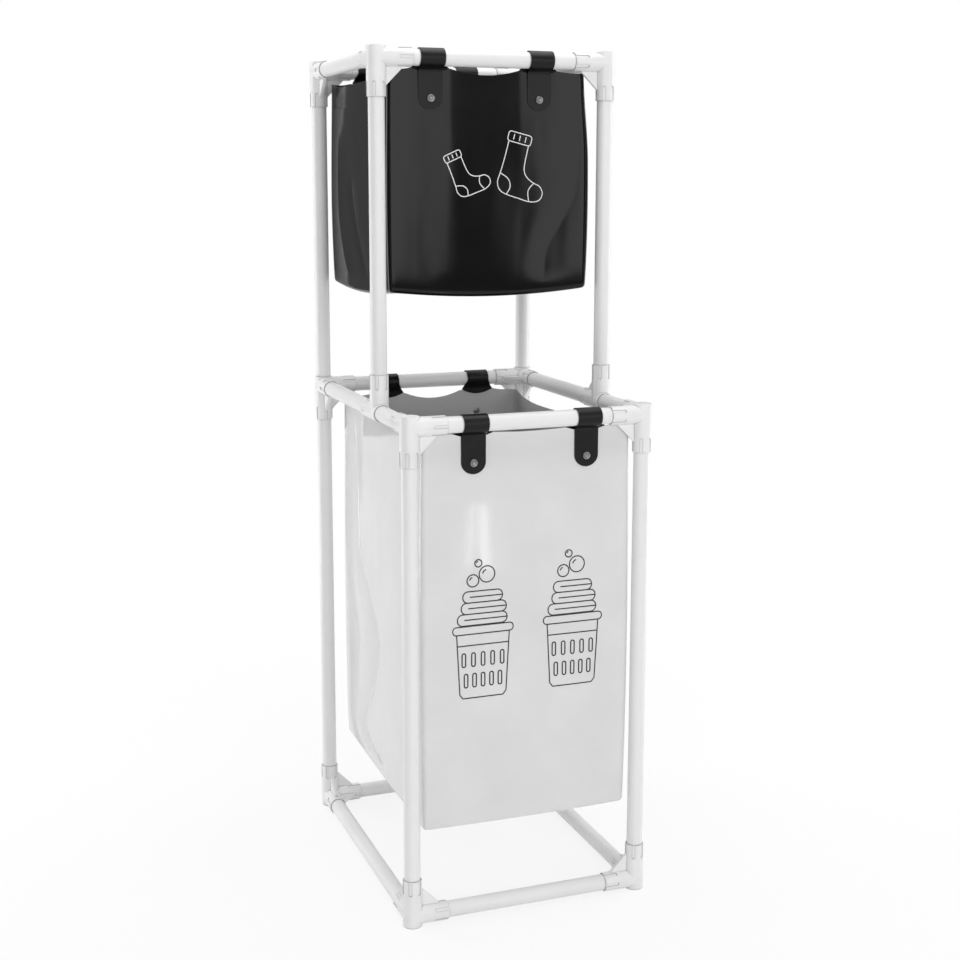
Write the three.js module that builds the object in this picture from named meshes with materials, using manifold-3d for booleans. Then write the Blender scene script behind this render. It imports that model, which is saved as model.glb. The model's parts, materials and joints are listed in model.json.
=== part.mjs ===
// A two-tier laundry hamper. A frame of push-fit plastic tube and moulded, gusseted connectors carries a
// deep bag on its lower tier and a shallower one on its upper tier, which stands on the rear of the lower.
// Each bag hangs from four strap loops that go over the rails and close with a snap on the bag's panel.
// Millimetres, +Z up, +X to the right along the front, the front facing -Y. The origin is on the floor,
// at the centre of the frame.

import * as THREE from "three";
import { mergeVertices, toCreasedNormals } from "three/addons/utils/BufferGeometryUtils.js";
import Module from "manifold-3d";

const wasm = await Module();
wasm.setup();

// Frame, from tube axis to tube axis. The tiers share the rear posts' plane.
const frame = { width: 300, lowerDepth: 390, upperDepth: 270, lowerRise: 605, upperRise: 428 };

const tube = { diameter: 20, wall: 1.6 };

// Clearances: round a tube in its socket, at its end, between soft pieces and what they lie on, and
// round a snap's stud in its cap.
const fit = { socket: 0.3, tubeEnd: 0.3, cloth: 0.3, stud: 0.6 };

// One named overrun for every cut that goes past a face.
const overrun = 1;

// Moulded connectors. A leg's length is from the hub's centre to its mouth, and each leg takes a tube
// as deep as socketDepth. The spine runs on past the hub to a flat end, which is a socket of its own
// on the connectors that carry a tube through.
const connector = {
  wall: 1.5,
  riserLeg: 47,
  railLeg: 44,
  hubEnd: 13,
  socketDepth: 30,
  hubSocketDepth: 22,
  gusset: 22,
  gussetThickness: 4.5,
  slotWidth: 4.5,
  slotLength: 18,
  slotDepth: 0.7,
};

// Straps: the tab is sewn inside the bag's rim and goes over the rail, the flap comes down outside it.
// A tab flares to its width at its two tips, and its foot bends down between them. Tips are measured
// down from the rail's axis, and the foot down from the tips.
const strap = {
  width: 31,
  thickness: 1.5,
  tabs: { front: { width: 51, tip: 12 }, rear: { width: 47, tip: 15 } },
  tabFoot: 6.5,
  flapBottom: 61,
  snapRise: 13.5,
};
const strapAngles = { hinge: 0, tabLeaves: 222, flapLeaves: -62 };

const snap = { capRadius: 5.75, capHeight: 2.2, studRadius: 2, studHeight: 1.3, recess: 0.4 };

// Bags. Each hangs inside its tier's rails, its panels a setback inside the rails' axes. Drops and the
// rim's levels are measured down from the rails' axes, a notch down from the tips of its strap's tab, and
// the middle of each strap in from the nearer side of its bag.
const bags = {
  lower: {
    sideClearance: 14.5,
    shift: 4.5,
    setback: 3,
    drop: 501,
    corners: { front: { left: 8, right: 11 }, rear: { left: 28, right: 14 } },
    edgeRadius: 5,
    belly: 2.5,
    edgeSag: 1.5,
    floorSag: 4,
    notch: 5,
    rims: {
      front: { ends: 11.5, middle: 13.5, straps: { left: 61, right: 64 } },
      rear: { ends: 18, middle: 25, straps: { left: 73, right: 63 } },
    },
    sideRims: { left: 19, right: 28 },
  },
  upper: {
    sideClearance: 18,
    shift: -2,
    setback: 3,
    drop: 281,
    corners: { front: { left: 10, right: 12 }, rear: { left: 20, right: 16 } },
    edgeRadius: 5,
    belly: 2.5,
    edgeSag: 8,
    floorSag: 4,
    notch: 5,
    rims: {
      front: { ends: 14, middle: 19, straps: { left: 53, right: 69 } },
      rear: { ends: 18, middle: 22, straps: { left: 53, right: 69 } },
    },
    sideRims: { left: 25, right: 25 },
  },
};
const cloth = 1.5;

// Facets of the round forms. A leg has a facet as wide as a slot for each slot, and one between them.
const tubeSides = 12;
const slotsPerLeg = 6;
const snapSides = 12;
const curveSteps = 4;
const cornerSteps = 3;
const panelSteps = 3;
const degreesPerStep = 16;

// Where the sections of a bag lie between its floor's edge and its rim.
const bellyHeightShares = [0.25, 0.55, 0.84];
const bellyGrowthShares = [0.85, 1, 0];

// Sizes worked out from the values above.
const tubeRadius = tube.diameter / 2;
const boreRadius = tubeRadius + fit.socket;
const socketRadius = tubeRadius + fit.socket + connector.wall;
const baseLevel = connector.hubEnd;
const midLevel = baseLevel + frame.lowerRise;
const topLevel = midLevel + frame.upperRise;
const halfWidth = frame.width / 2;
const rearY = frame.lowerDepth / 2;
const lowerFrontY = -rearY;
const upperFrontY = rearY - frame.upperDepth;
const strapInner = tubeRadius + fit.cloth;
const strapOuter = strapInner + strap.thickness;

const white = new THREE.MeshStandardMaterial({ color: "#f2f2f2", roughness: 0.38, metalness: 0 });
const tubeWhite = new THREE.MeshStandardMaterial({ color: "#efefef", roughness: 0.3, metalness: 0 });
const whiteCloth = new THREE.MeshStandardMaterial({ color: "#dcdcdc", roughness: 0.3, metalness: 0 });
const blackCloth = new THREE.MeshStandardMaterial({ color: "#2c2c2d", roughness: 0.5, metalness: 0 });
const blackStrap = new THREE.MeshStandardMaterial({ color: "#1b1b1c", roughness: 0.4, metalness: 0 });

const axes = {
  up: new THREE.Vector3(0, 0, 1),
  down: new THREE.Vector3(0, 0, -1),
  right: new THREE.Vector3(1, 0, 0),
  front: new THREE.Vector3(0, -1, 0),
  back: new THREE.Vector3(0, 1, 0),
};

// A closed three.js geometry as a manifold-3d solid.
function solidOf(geometry) {
  const bare = geometry.clone();
  bare.deleteAttribute("normal");
  bare.deleteAttribute("uv");
  const merged = mergeVertices(bare);
  const vertProperties = merged.attributes.position.array;
  const triVerts = new Uint32Array(merged.index.array);
  return new wasm.Manifold(new wasm.Mesh({ numProp: 3, vertProperties, triVerts }));
}

// A manifold-3d solid as a geometry with its sharp edges kept sharp.
function geometryOf(solid) {
  const mesh = solid.getMesh();
  const geometry = new THREE.BufferGeometry();
  geometry.setAttribute("position", new THREE.BufferAttribute(mesh.vertProperties, 3));
  geometry.setIndex(new THREE.BufferAttribute(mesh.triVerts, 1));
  return toCreasedNormals(geometry, (35 * Math.PI) / 180);
}

function join(solids) {
  return solids.reduce((whole, solid) => whole.add(solid));
}

function cut(solid, cutters) {
  return cutters.reduce((rest, cutter) => rest.subtract(cutter), solid);
}

function extrude(shape, depth) {
  return new THREE.ExtrudeGeometry(shape, { depth, bevelEnabled: false, curveSegments: curveSteps });
}

// A regular polygon with a corner on the local +X, as a closed list of points.
function polygon(radius, sides) {
  return Array.from({ length: sides }, (_, i) => {
    const angle = (2 * Math.PI * i) / sides;
    return new THREE.Vector2(radius * Math.cos(angle), radius * Math.sin(angle));
  });
}

// A leg's outline, with the middle of a slot on its local +X. Where the leg has its slots, their
// facets are set in.
function legOutline(slotDepth) {
  const halfSlot = connector.slotWidth / 2;
  const facet = Math.sqrt(socketRadius ** 2 - halfSlot ** 2);
  const raised = [new THREE.Vector2(facet, -halfSlot), new THREE.Vector2(facet, halfSlot)];
  const floor = raised.map((corner) => new THREE.Vector2(corner.x - slotDepth, corner.y));
  const sector = slotDepth === 0 ? raised : [raised[0], ...floor, raised[1]];
  return Array.from({ length: slotsPerLeg }, (_, i) => (2 * Math.PI * i) / slotsPerLeg).flatMap((angle) =>
    sector.map((corner) => corner.clone().rotateAround(new THREE.Vector2(), angle)),
  );
}

// A straight prism along a direction, from one distance to another.
function prism(points, direction, from, to) {
  const turn = new THREE.Quaternion().setFromUnitVectors(axes.up, direction);
  const geometry = extrude(new THREE.Shape(points), to - from);
  return geometry.translate(0, 0, from).applyQuaternion(turn);
}

// The triangular web between two legs, as thick as the mould makes it and centred on their axes.
function gussetOf(legA, legB) {
  const reach = socketRadius + connector.gusset;
  const outline = new THREE.Shape([
    new THREE.Vector2(0, 0),
    new THREE.Vector2(reach, 0),
    new THREE.Vector2(reach, socketRadius),
    new THREE.Vector2(socketRadius, reach),
    new THREE.Vector2(0, reach),
  ]);
  const geometry = extrude(outline, connector.gussetThickness);
  geometry.translate(0, 0, -connector.gussetThickness / 2);
  const normal = new THREE.Vector3().crossVectors(legA.direction, legB.direction);
  const basis = new THREE.Matrix4().makeBasis(legA.direction, legB.direction, normal);
  return geometry.applyMatrix4(basis);
}

// One moulded connector about its hub's centre. The first leg is the spine.
function connectorGeometry(legs, openHub) {
  const leg = legOutline(0);
  const mouth = legOutline(connector.slotDepth);
  const bore = polygon(boreRadius, tubeSides);
  const [spine] = legs;
  const bodies = [];
  const bores = [];
  for (const { direction, length } of legs) {
    const start = direction === spine.direction ? -connector.hubEnd : 0;
    const slotStart = length - connector.slotLength;
    bodies.push(solidOf(prism(leg, direction, start, slotStart)));
    bodies.push(solidOf(prism(mouth, direction, slotStart, length)));
    bores.push(solidOf(prism(bore, direction, length - connector.socketDepth, length + overrun)));
  }
  legs.forEach((a, i) => {
    legs.slice(i + 1).forEach((b) => bodies.push(solidOf(gussetOf(a, b))));
  });
  if (openHub) {
    const end = -connector.hubEnd;
    bores.push(solidOf(prism(bore, spine.direction, end - overrun, end + connector.hubSocketDepth)));
  }
  return geometryOf(cut(join(bodies), bores));
}

const riser = connector.riserLeg;
const rail = connector.railLeg;
const connectorForms = {
  corner: connectorGeometry(
    [
      { direction: axes.up, length: riser },
      { direction: axes.right, length: rail },
      { direction: axes.back, length: rail },
    ],
    false,
  ),
  cross: connectorGeometry(
    [
      { direction: axes.down, length: riser },
      { direction: axes.right, length: rail },
      { direction: axes.front, length: rail },
    ],
    true,
  ),
  tee: connectorGeometry(
    [
      { direction: axes.back, length: rail },
      { direction: axes.up, length: riser },
    ],
    true,
  ),
};

// A hollow tube along +Z from the origin: a rectangle turned about the axis.
function tubeGeometry(length) {
  const bore = tubeRadius - tube.wall;
  const profile = [
    new THREE.Vector2(bore, 0),
    new THREE.Vector2(tubeRadius, 0),
    new THREE.Vector2(tubeRadius, length),
    new THREE.Vector2(bore, length),
    new THREE.Vector2(bore, 0),
  ];
  return new THREE.LatheGeometry(profile, tubeSides).rotateX(Math.PI / 2);
}

function pieceOf(name, geometry, material) {
  const mesh = new THREE.Mesh(geometry, material);
  mesh.name = name;
  return mesh;
}

// A tube between two hubs. Each end stops short of its socket's floor, whose distance from the hub's
// centre is stopA or stopB; a stop below zero lies beyond the centre.
function tubeBetween(name, hubA, hubB, stopA, stopB) {
  const direction = hubB.clone().sub(hubA).normalize();
  const start = hubA.clone().addScaledVector(direction, stopA + fit.tubeEnd);
  const end = hubB.clone().addScaledVector(direction, -stopB - fit.tubeEnd);
  const mesh = pieceOf(name, tubeGeometry(start.distanceTo(end)), tubeWhite);
  mesh.quaternion.setFromUnitVectors(axes.up, direction);
  mesh.position.copy(start);
  return mesh;
}

const railStop = connector.railLeg - connector.socketDepth;
const riserStop = connector.riserLeg - connector.socketDepth;
const hubStop = connector.hubSocketDepth - connector.hubEnd;

// The frame. Corner connectors are one moulding, turned to each corner about Z, and turned over where
// their riser leg hangs down.
function connectorAt(name, form, hub, turns, turnedOver) {
  const mesh = pieceOf(name, connectorForms[form], white);
  const about = new THREE.Quaternion().setFromAxisAngle(axes.up, (turns * Math.PI) / 2);
  const diagonal = axes.right.clone().add(axes.back).normalize();
  const over = new THREE.Quaternion().setFromAxisAngle(diagonal, turnedOver ? Math.PI : 0);
  mesh.quaternion.copy(about.multiply(over));
  mesh.position.copy(hub);
  return mesh;
}

function hubAt(side, y, level) {
  return new THREE.Vector3(side * halfWidth, y, level);
}

const sides = { left: -1, right: 1 };

function buildFrame() {
  const group = new THREE.Group();
  const levels = [
    { name: "base", level: baseLevel, frontY: lowerFrontY, hanging: false },
    { name: "mid", level: midLevel, frontY: lowerFrontY, hanging: true },
    { name: "top", level: topLevel, frontY: upperFrontY, hanging: true },
  ];
  for (const { name, level, frontY, hanging } of levels) {
    const frontLeft = hubAt(sides.left, frontY, level);
    const frontRight = hubAt(sides.right, frontY, level);
    const rearLeft = hubAt(sides.left, rearY, level);
    const rearRight = hubAt(sides.right, rearY, level);
    group.add(connectorAt(`${name}_corner_front_left`, "corner", frontLeft, 0, hanging));
    group.add(connectorAt(`${name}_corner_front_right`, "corner", frontRight, 1, hanging));
    const rearForm = name === "mid" ? "cross" : "corner";
    const rearOver = hanging && rearForm === "corner";
    const rearTurns = rearForm === "cross" ? 0 : -1;
    group.add(connectorAt(`${name}_corner_rear_left`, rearForm, rearLeft, rearTurns, rearOver));
    group.add(connectorAt(`${name}_corner_rear_right`, rearForm, rearRight, rearTurns - 1, rearOver));
    group.add(tubeBetween(`${name}_rail_front`, frontLeft, frontRight, railStop, railStop));
    group.add(tubeBetween(`${name}_rail_rear`, rearLeft, rearRight, railStop, railStop));
  }
  for (const [side, sign] of Object.entries(sides)) {
    const baseFront = hubAt(sign, lowerFrontY, baseLevel);
    const baseRear = hubAt(sign, rearY, baseLevel);
    const midFront = hubAt(sign, lowerFrontY, midLevel);
    const midRear = hubAt(sign, rearY, midLevel);
    const tee = hubAt(sign, upperFrontY, midLevel);
    const topFront = hubAt(sign, upperFrontY, topLevel);
    const topRear = hubAt(sign, rearY, topLevel);
    group.add(connectorAt(`mid_tee_${side}`, "tee", tee, 0, false));
    group.add(tubeBetween(`base_rail_${side}`, baseFront, baseRear, railStop, railStop));
    group.add(tubeBetween(`mid_rail_${side}_front`, midFront, tee, railStop, -hubStop));
    group.add(tubeBetween(`mid_rail_${side}_rear`, tee, midRear, railStop, railStop));
    group.add(tubeBetween(`top_rail_${side}`, topFront, topRear, railStop, railStop));
    group.add(tubeBetween(`lower_post_front_${side}`, baseFront, midFront, riserStop, riserStop));
    group.add(tubeBetween(`lower_post_rear_${side}`, baseRear, midRear, riserStop, riserStop));
    group.add(tubeBetween(`upper_post_front_${side}`, tee, topFront, riserStop, riserStop));
    group.add(tubeBetween(`upper_post_rear_${side}`, midRear, topRear, -hubStop, riserStop));
  }
  return group;
}

// One ring of a bag's loft: a rectangle with each corner rounded by its own radius, less the inset, and
// points along its sides for them to sag by.
function bagRing(corners, halfX, halfY, inset, levelAt) {
  const quarters = [
    { x: 1, y: 1, radius: corners.rear.right - inset },
    { x: -1, y: 1, radius: corners.rear.left - inset },
    { x: -1, y: -1, radius: corners.front.left - inset },
    { x: 1, y: -1, radius: corners.front.right - inset },
  ];
  const arcs = quarters.map(({ x, y, radius }, corner) =>
    Array.from({ length: cornerSteps + 1 }, (_, i) => {
      const angle = ((corner + i / cornerSteps) * Math.PI) / 2;
      const centre = new THREE.Vector2(x * (halfX - radius), y * (halfY - radius));
      return centre.add(new THREE.Vector2(Math.cos(angle), Math.sin(angle)).multiplyScalar(radius));
    }),
  );
  const outline = arcs.flatMap((arc, corner) => {
    const nextArc = arcs[(corner + 1) % arcs.length];
    const side = Array.from({ length: panelSteps - 1 }, (_, i) =>
      arc.at(-1).clone().lerp(nextArc[0], (i + 1) / panelSteps),
    );
    return [...arc, ...side];
  });
  return outline.map(({ x, y }) => new THREE.Vector3(x, y, levelAt(x, y)));
}

// A closed skin over a stack of rings, each end closed by a fan to its own centre point.
function loft(rings, lowCentre, highCentre) {
  const count = rings[0].length;
  const points = [...rings.flat(), lowCentre, highCentre];
  const low = points.length - 2;
  const high = points.length - 1;
  const lastRing = (rings.length - 1) * count;
  const faces = [];
  for (let i = 0; i < count; i++) {
    const next = (i + 1) % count;
    faces.push(low, next, i);
    faces.push(high, lastRing + i, lastRing + next);
    for (let ring = 0; ring < rings.length - 1; ring++) {
      const a = ring * count + i;
      const b = ring * count + next;
      faces.push(a, b, b + count, a, b + count, a + count);
    }
  }
  const geometry = new THREE.BufferGeometry().setFromPoints(points);
  geometry.setIndex(faces);
  return geometry;
}

function halfAcross(bag) {
  return frame.width / 2 - bag.sideClearance;
}

// The middles of the two straps on a bag's front or rear, across from the bag's own middle.
function strapPlaces(bag, end) {
  const { left, right } = bag.rims[end].straps;
  return { left: left - halfAcross(bag), right: halfAcross(bag) - right };
}

// A bag's outside, or its inside when inset by the cloth, about the middle of its tier at rail level.
function bagForm(bag, depth, inset) {
  const halfX = halfAcross(bag) - inset;
  const halfY = depth / 2 - bag.setback - inset;
  const floor = inset - bag.drop;
  const highest = -Math.min(bag.rims.front.ends, strap.tabs.front.tip);
  const rim = highest + (inset > 0 ? overrun : 0);
  const edge = bag.edgeRadius - inset;
  const sagAt = (x, y) => bag.edgeSag * (1 - (x / halfX) ** 2 * (y / halfY) ** 2);
  const ring = (grow, level, sag) =>
    bagRing(bag.corners, halfX + grow, halfY + grow, inset, (x, y) => level - sag * sagAt(x, y));
  const rounding = [0, Math.PI / 4, Math.PI / 2].map((angle) => {
    const grow = -edge * (1 - Math.sin(angle));
    return ring(grow, floor + edge * (1 - Math.cos(angle)), 1);
  });
  const height = rim - floor;
  const walls = bellyHeightShares.map((share, i) =>
    ring(bag.belly * bellyGrowthShares[i], floor + height * share, 0),
  );
  const rings = [...rounding, ...walls, ring(0, rim, 0)];
  const lowCentre = new THREE.Vector3(0, 0, floor - bag.edgeSag - bag.floorSag);
  return solidOf(loft(rings, lowCentre, new THREE.Vector3(0, 0, rim)));
}

// Continues a rim to a point in one bend, whose middle is at a level of its own.
function bendTo(rim, to, drop, middleDrop) {
  const from = rim.currentPoint;
  const control = -2 * middleDrop - (from.y - drop) / 2;
  rim.quadraticCurveTo((from.x + to) / 2, control, to, -drop);
}

// What is cut away above a front or rear panel's rim, as a shape across the panel. The rim passes through
// the tips of each strap's tab, with a notch between them.
function endCutShape(bag, end) {
  const { ends, middle } = bag.rims[end];
  const { width, tip } = strap.tabs[end];
  const { left, right } = strapPlaces(bag, end);
  const outside = halfAcross(bag) + overrun;
  const shape = new THREE.Shape();
  shape.moveTo(-outside, 0);
  shape.lineTo(-outside, -ends);
  bendTo(shape, left - width / 2, tip, ends);
  bendTo(shape, left + width / 2, tip, tip + bag.notch);
  bendTo(shape, right - width / 2, tip, middle);
  bendTo(shape, right + width / 2, tip, tip + bag.notch);
  bendTo(shape, outside, ends, ends);
  shape.lineTo(outside, 0);
  return shape;
}

// What is cut away above a side panel's rim, as a shape along the panel from the front to the rear.
function sideCutShape(bag, side, halfY) {
  const { front, rear } = bag.rims;
  const shape = new THREE.Shape();
  const frontEnd = bag.corners.front[side] - halfY;
  const rearEnd = halfY - bag.corners.rear[side];
  shape.moveTo(frontEnd, 0);
  shape.lineTo(frontEnd, -front.ends);
  bendTo(shape, rearEnd, rear.ends, bag.sideRims[side]);
  shape.lineTo(rearEnd, 0);
  return shape;
}

// A bag with its open top, its scalloped rim and the studs of its snaps.
function bagSolid(bag, depth) {
  const halfY = depth / 2 - bag.setback;
  const shell = bagForm(bag, depth, 0).subtract(bagForm(bag, depth, cloth));
  const lengthwise = halfY + overrun;
  const across = halfAcross(bag) + overrun;
  const endCut = (end) => extrude(endCutShape(bag, end), lengthwise).rotateX(Math.PI / 2);
  const sideCut = (side) =>
    extrude(sideCutShape(bag, side, halfY), across)
      .rotateX(Math.PI / 2)
      .rotateZ(Math.PI / 2);
  const cuts = [
    endCut("front"),
    endCut("rear").translate(0, lengthwise, 0),
    sideCut("left").translate(-across, 0, 0),
    sideCut("right"),
  ];
  return cut(shell, cuts.map(solidOf)).add(join(studsOf(bag, halfY)));
}

const snapLevel = strap.snapRise - strap.flapBottom;

function studsOf(bag, halfY) {
  return Object.entries({ front: axes.front, rear: axes.back }).flatMap(([end, facing]) =>
    Object.values(strapPlaces(bag, end)).map((x) => {
      const outline = polygon(snap.studRadius, snapSides);
      const stud = prism(outline, facing, halfY - cloth / 2, halfY + snap.studHeight);
      return solidOf(stud.translate(x, 0, snapLevel));
    }),
  );
}

// A strap's side view: u runs out from the rail's axis, away from the bag, and v runs up. It is an arc
// round the rail between two angles, and a straight end that hangs in one plane.
function strapPoint(radius, degrees) {
  const angle = THREE.MathUtils.degToRad(degrees);
  return new THREE.Vector2(radius * Math.cos(angle), radius * Math.sin(angle));
}

function arcPoints(radius, from, to) {
  const steps = Math.ceil(Math.abs(to - from) / degreesPerStep);
  return Array.from({ length: steps + 1 }, (_, i) => strapPoint(radius, from + ((to - from) * i) / steps));
}

// The point where the tangent at an angle of the arc meets the plane u = plane.
function tangentAt(radius, degrees, plane) {
  const point = strapPoint(radius, degrees);
  const along = strapPoint(1, degrees).rotateAround(new THREE.Vector2(), Math.PI / 2);
  return point.addScaledVector(along, (plane - point.x) / along.x);
}

// Turns a strap piece from its drawing, X across the strap, Y up and Z outwards, to face the front.
function toFront(geometry) {
  return geometry.rotateX(Math.PI / 2);
}

function hookSolid(from, to, innerPlane, outerPlane, bottom) {
  const outside = arcPoints(strapOuter, from, to);
  const inside = arcPoints(strapInner, from, to);
  const outline = [
    ...outside,
    tangentAt(strapOuter, to, outerPlane),
    new THREE.Vector2(outerPlane, bottom),
    new THREE.Vector2(innerPlane, bottom),
    tangentAt(strapInner, to, innerPlane),
    ...inside.reverse(),
  ];
  const side = extrude(new THREE.Shape(outline), strap.width).translate(0, 0, -strap.width / 2);
  return solidOf(toFront(side.rotateY(-Math.PI / 2)));
}

// The gap at the hinge is shared by the tab and the flap.
const hingeGap = THREE.MathUtils.radToDeg(fit.cloth / 2 / strapInner);

// A tab: over the rail and down inside it, flaring to a patch with a curved foot.
function tabSolid({ width, tip }, panelInner) {
  const outerPlane = -panelInner - fit.cloth;
  const innerPlane = outerPlane - strap.thickness;
  const neckLevel = tangentAt(strapOuter, strapAngles.tabLeaves, innerPlane).y;
  const hinge = strapAngles.hinge + hingeGap;
  const hook = hookSolid(hinge, strapAngles.tabLeaves, outerPlane, innerPlane, -tip);
  const neck = strap.width / 2;
  const patch = new THREE.Shape();
  patch.moveTo(-neck, neckLevel);
  patch.quadraticCurveTo(-neck, -tip, -width / 2, -tip);
  bendTo(patch, width / 2, tip, tip + strap.tabFoot);
  patch.quadraticCurveTo(neck, -tip, neck, neckLevel);
  const plate = toFront(extrude(patch, strap.thickness).translate(0, 0, innerPlane));
  return hook.add(solidOf(plate));
}

// The flap: round under the rail and down the panel to a round end, with the snap's cap on it.
function flapSolid(panelOuter) {
  const innerPlane = -panelOuter + fit.cloth;
  const outerPlane = innerPlane + strap.thickness;
  const half = strap.width / 2;
  const roundStart = half - strap.flapBottom;
  const hinge = strapAngles.hinge - hingeGap;
  const hook = hookSolid(hinge, strapAngles.flapLeaves, innerPlane, outerPlane, roundStart);
  const end = new THREE.Shape();
  end.moveTo(half, roundStart + overrun);
  end.lineTo(-half, roundStart + overrun);
  end.absarc(0, roundStart, half, Math.PI, 2 * Math.PI, false);
  const plate = toFront(extrude(end, strap.thickness).translate(0, 0, innerPlane));
  const capTop = outerPlane + snap.capHeight;
  const cap = prism(polygon(snap.capRadius, snapSides), axes.up, outerPlane - strap.thickness / 2, capTop);
  const holeRadius = snap.studRadius + fit.stud;
  const holeTop = outerPlane + snap.recess;
  const hole = prism(polygon(holeRadius, snapSides), axes.up, innerPlane - overrun, holeTop);
  const placed = [cap, hole].map((geometry) => solidOf(toFront(geometry.translate(0, snapLevel, 0))));
  return hook.add(solidOf(plate)).add(placed[0]).subtract(placed[1]);
}

// One tier's bag with its eight strap pieces.
function buildBag(tier, bag, frontY, level, material) {
  const group = new THREE.Group();
  const depth = rearY - frontY;
  const shell = pieceOf(`${tier}_bag`, geometryOf(bagSolid(bag, depth)), material);
  shell.position.set(bag.shift, (frontY + rearY) / 2, level);
  group.add(shell);
  const flap = geometryOf(flapSolid(bag.setback));
  const ends = [
    { end: "front", y: frontY, turn: 0 },
    { end: "rear", y: rearY, turn: Math.PI },
  ];
  for (const { end, y, turn } of ends) {
    const tab = geometryOf(tabSolid(strap.tabs[end], bag.setback + cloth));
    for (const [side, x] of Object.entries(strapPlaces(bag, end))) {
      const pieces = new THREE.Group();
      pieces.add(pieceOf(`${tier}_strap_tab_${end}_${side}`, tab, blackStrap));
      pieces.add(pieceOf(`${tier}_strap_flap_${end}_${side}`, flap, blackStrap));
      pieces.rotation.z = turn;
      pieces.position.set(bag.shift + x, y, level);
      group.add(pieces);
    }
  }
  return group;
}

const hamper = new THREE.Group();
hamper.add(buildFrame());
hamper.add(buildBag("lower", bags.lower, lowerFrontY, midLevel, whiteCloth));
hamper.add(buildBag("upper", bags.upper, upperFrontY, topLevel, blackCloth));

export default hamper;
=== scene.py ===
"""Dresses the two-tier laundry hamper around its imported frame.

A push-fit frame of plastic tube and moulded connectors carries a deep white bag on its lower
tier and a shallower black one above. Each bag hangs from four coated straps that go over the rails
and snap shut. Sizes are in millimetres until a mesh is finished, and in metres from then on.
"""

import sys
import json
import logging
import math
from collections.abc import Callable, Sequence
from dataclasses import dataclass, field
from enum import Enum

import bmesh
import bpy
from bmesh.types import BMEdge, BMesh, BMVert
from bpy.types import Material, Node, NodeSocket, NodeTree, Object
from mathutils import Matrix, Vector, noise
from mathutils.bvhtree import BVHTree
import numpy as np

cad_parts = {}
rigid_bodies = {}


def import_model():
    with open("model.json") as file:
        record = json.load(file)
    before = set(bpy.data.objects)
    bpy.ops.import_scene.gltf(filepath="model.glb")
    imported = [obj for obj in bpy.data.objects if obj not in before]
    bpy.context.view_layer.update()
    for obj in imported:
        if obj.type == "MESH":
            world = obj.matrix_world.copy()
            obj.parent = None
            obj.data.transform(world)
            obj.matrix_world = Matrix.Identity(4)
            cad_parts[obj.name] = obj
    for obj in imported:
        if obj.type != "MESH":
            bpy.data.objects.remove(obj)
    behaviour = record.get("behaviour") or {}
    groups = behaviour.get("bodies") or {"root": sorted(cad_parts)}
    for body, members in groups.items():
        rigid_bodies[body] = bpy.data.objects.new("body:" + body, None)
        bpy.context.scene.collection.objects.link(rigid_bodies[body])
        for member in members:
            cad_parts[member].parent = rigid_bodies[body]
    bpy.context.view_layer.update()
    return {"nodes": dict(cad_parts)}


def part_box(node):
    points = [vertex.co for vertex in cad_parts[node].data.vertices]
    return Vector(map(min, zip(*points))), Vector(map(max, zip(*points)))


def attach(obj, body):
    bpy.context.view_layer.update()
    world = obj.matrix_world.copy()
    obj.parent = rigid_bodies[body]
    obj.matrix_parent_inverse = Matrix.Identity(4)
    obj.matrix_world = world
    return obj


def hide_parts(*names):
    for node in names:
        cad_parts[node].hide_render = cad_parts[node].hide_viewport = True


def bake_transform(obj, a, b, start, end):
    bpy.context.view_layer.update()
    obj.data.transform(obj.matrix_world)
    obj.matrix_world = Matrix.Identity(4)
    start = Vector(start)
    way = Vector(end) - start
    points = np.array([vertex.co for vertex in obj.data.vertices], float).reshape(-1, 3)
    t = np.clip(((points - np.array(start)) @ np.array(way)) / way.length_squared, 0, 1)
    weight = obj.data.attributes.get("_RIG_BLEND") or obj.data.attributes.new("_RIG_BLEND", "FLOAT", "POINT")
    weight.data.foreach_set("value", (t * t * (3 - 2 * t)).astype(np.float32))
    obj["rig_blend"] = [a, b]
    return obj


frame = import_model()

MM = 0.001
FULL_TURN = 2 * math.pi
FRAME_BODY = "frame"
SHARP_ANGLE = math.radians(32)
MERGED = 1e-4
WHITE = (1, 1, 1, 1)

Pair = tuple[float, float]
Point = tuple[float, float]
Stroke = list[Point]

log = logging.getLogger("hamper")


class Run(Enum):
    """The axis along which a tube runs."""

    ACROSS = 0
    DEEP = 1
    UPRIGHT = 2


class Facing(Enum):
    """The outward direction of a bag's panel."""

    FRONT = (0.0, -1.0, 0.0)
    REAR = (0.0, 1.0, 0.0)
    LEFT = (-1.0, 0.0, 0.0)
    RIGHT = (1.0, 0.0, 0.0)

    def outward(self) -> Vector:
        """Returns the direction as a vector."""
        return Vector(self.value)

    def across(self, point: Vector) -> float:
        """Returns the coordinate of a point across the panel."""
        return point.x if self in (Facing.FRONT, Facing.REAR) else point.y


class Form(Enum):
    """The forms that the connectors are moulded in."""

    CORNER = "corner"
    TURNED_CORNER = "turned_corner"
    CROSS = "cross"
    TEE = "tee"


UP = Vector((0, 0, 1))
DOWN = Vector((0, 0, -1))
RIGHT = Vector((1, 0, 0))
FRONT = Vector((0, -1, 0))
BACK = Vector((0, 1, 0))


def srgb(code: str) -> tuple[float, float, float, float]:
    """Turns an sRGB colour to the linear values that a shader takes.

    Args:
        code: Six hex digits after a hash.

    Returns:
        Linear red, green and blue, and an alpha of one.
    """
    channels = [int(code[i : i + 2], 16) / 255 for i in (1, 3, 5)]
    linear = [c / 12.92 if c <= 0.04045 else ((c + 0.055) / 1.055) ** 2.4 for c in channels]
    return (linear[0], linear[1], linear[2], 1.0)


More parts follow.
